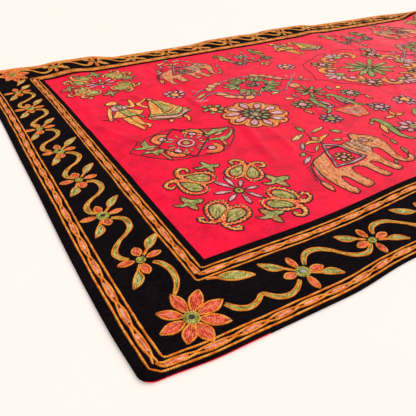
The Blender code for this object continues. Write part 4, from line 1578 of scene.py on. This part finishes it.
def hexagon(spot):
    """The middle medallion: a thin six-sided line round a green star, half flowers and blossoms."""
    side = (
        (-198, -4), (-186, 14), (-168, 52), (-158, 84), (-142, 110), (-120, 122), (-84, 138), (-50, 158),
        (-12, 166),
    )
    lower = (
        (-198, -4), (-176, -22), (-166, -52), (-140, -72), (-120, -96), (-84, -118), (-40, -138),
        (0, -146),
    )
    for flip in (False, True):
        half = spot.inner(0, 0, 0, 1.0, flip)
        line(half, side, "charcoal", EDGE_WIDTH)
        line(half, lower, "charcoal", EDGE_WIDTH)
        half_flower(half.inner(-114, -6, 98, 1.05))
        for x, y in ((-96, 82), (-88, -90)):
            bloom = half.inner(x, y)
            petals(bloom, 8, 11, 32, 12, "peach", first=22, blunt=0.6)
            for turn in (10, 130, 250):
                leaf(bloom.inner(0, 0, turn), 12, 34, 9, "green", edge_width=FINE_WIDTH, lift=LAYER_LIFT)
            disc(bloom, 10, "pink", "charcoal", lift=LAYER_LIFT)
    half_flower(spot.inner(-12, 110, 4, 0.95))
    half_flower(spot.inner(2, -108, 184, 0.95))
    rays = (
        (4, 76, 14), (42, 84, 15), (82, 62, 17), (118, 70, 17), (150, 84, 16), (178, 78, 15),
        (206, 80, 16), (228, 86, 17), (258, 70, 18), (296, 66, 18), (332, 74, 16),
    )
    for turn, reach, width in rays:
        leaf(spot.inner(0, 0, turn), 4, reach, width, "green", belly=0.64, blunt=0.6)
    disc(spot, 8, "leaf", lift=LAYER_LIFT)


# The field: each motif's place from the field's near left corner, its turn and size, in metres and degrees.
# The left half is worked again, turned over, as the right half.
HALF_FIELD = {
    "paisleys_in_wreaths": (
        (paisley_wreath, 0.130, 0.115, 0, 1.0),
        (paisley_wreath, 0.121, 0.712, 90, 0.95),
    ),
    "elephants_with_saddles": (
        (elephant, 0.347, 0.099, 0, 1.0),
        (elephant, 0.326, 0.676, 0, 0.86),
    ),
    "lozenges_and_rosettes": (
        (lozenge, 0.140, 0.308, 0, 1.0),
        (rosette, 0.333, 0.352, 0, 1.0),
        (leafy_oval, 0.434, 0.505, 0, 1.0),
        (small_flower, 0.237, 0.541, 0, 1.0),
        (small_flower, 0.603, 0.582, 0, 1.0),
        (small_flower, 0.677, 0.243, 0, 1.05),
    ),
    "trees_and_parrots": (
        (vase, 0.532, 0.302, 0, 1.0),
        (mirror_tree, 0.574, 0.135, 0, 1.0),
        (parrot_sprig, 0.553, 0.700, 0, 0.95),
    ),
    "dancing_figures": (
        (stick_dancer, 0.095, 0.482, 0, 1.0),
        (skirt_dancer, 0.180, 0.475, 0, 1.0),
    ),
}

# The small green flower with seven petals: its place from the same corner, and its turn.
ODD_FLOWER = (0.270, 0.422, 20)

# The middle of the field: each motif's place from the middle line and the field's near edge, and its size.
MIDDLE_FIELD = (
    (hexagon, 0.034, 0.460, 1.0),
    (stick_dancer, -0.048, 0.712, 0.82),
    (skirt_dancer, 0.030, 0.712, 0.82),
    (parrot_sprig, 0.0, 0.115, 0.9),
)


def field_needlework(shades):
    for name, motifs in HALF_FIELD.items():
        work = Needlework(name, RED_THICKNESS)
        for flip in (False, True):
            side = -1 if flip else 1
            for motif, out, up, turn, size in motifs:
                spot = Spot(work, side * (FIELD_LEFT + out), FIELD_NEAR + up, side * turn, size, flip)
                motif(spot)
            if name == "lozenges_and_rosettes":
                x, up, turn = ODD_FLOWER
                spot = Spot(work, side * (FIELD_LEFT + x), FIELD_NEAR + up, turn, 1.0, flip)
                small_flower(spot, "green", "amber", 7)
        stitch(work, shades)
    work = Needlework("middle_medallion_and_dancers", RED_THICKNESS)
    for motif, x, up, size in MIDDLE_FIELD:
        motif(Spot(work, x, FIELD_NEAR + up, 0, size))
    stitch(work, shades)


# The stage: camera, light and floor


EYE = (-0.9918, -0.7755, 0.3862)
LOOKS_DOWN = 34.18  # degrees
LOOKS_RIGHT = 30.95  # from +Y
LENS_LENGTH = 39.48
SENSOR_WIDTH = 36.0
SKY = (1.0, 0.98, 0.95, 1.0)
SKY_STRENGTH = 0.36
# Suns: name, strength, apparent size, tilt from straight down, and turn.
SUNS = (("window", 2.1, 50, 52, 112), ("fill", 1.45, 60, 40, -31))
FLOOR_HALF = 14.0
FLOOR_DROP = 0.0003  # how far the floor lies under the cloth, so that the two don't fight


def camera():
    """The photograph's own view, from near the cloth's near left corner."""
    lens = bpy.data.cameras.new("camera")
    lens.lens = LENS_LENGTH
    lens.sensor_width = SENSOR_WIDTH
    lens.clip_start = 0.01
    eye = bpy.data.objects.new("camera", lens)
    eye.location = EYE
    eye.rotation_euler = (math.radians(90 - LOOKS_DOWN), 0.0, math.radians(-LOOKS_RIGHT))
    bpy.context.scene.collection.objects.link(eye)
    bpy.context.scene.camera = eye


def lights():
    world = bpy.data.worlds.new("studio")
    world.use_nodes = True
    sky = world.node_tree.nodes["Background"]
    sky.inputs["Color"].default_value = SKY
    sky.inputs["Strength"].default_value = SKY_STRENGTH
    bpy.context.scene.world = world
    for name, strength, size, tilt, turn in SUNS:
        sun = bpy.data.lights.new(name, "SUN")
        sun.energy = strength
        sun.angle = math.radians(size)
        lamp = bpy.data.objects.new(name, sun)
        lamp.rotation_euler = (math.radians(tilt), 0.0, math.radians(turn))
        bpy.context.scene.collection.objects.link(lamp)
    bpy.context.scene.view_settings.view_transform = "Standard"


def floor():
    half = FLOOR_HALF
    corners = [(-half, -half, 0), (half, -half, 0), (half, half, 0), (-half, half, 0)]
    mesh = bpy.data.meshes.new("floor")
    mesh.from_pydata(corners, [], [(0, 1, 2, 3)])
    mesh.materials.append(painted_floor())
    ground = bpy.data.objects.new("floor", mesh)
    ground.location.z = -FLOOR_DROP
    bpy.context.scene.collection.objects.link(ground)
    ground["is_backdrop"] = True


def tapestry():
    shades = {}
    for name, codes in THREAD_SHADES.items():
        shades[name] = chain_stitched_cotton(name + "_thread", *codes)
    cloths()
    mirror_discs()
    bands(shades)
    borders(shades)
    field_needlework(shades)


camera()
lights()
floor()
tapestry()

boxes = {"cad": cad_box, "visual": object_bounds()}
boxes = {name: [[float(v) for v in corner] for corner in box] for name, box in boxes.items()}
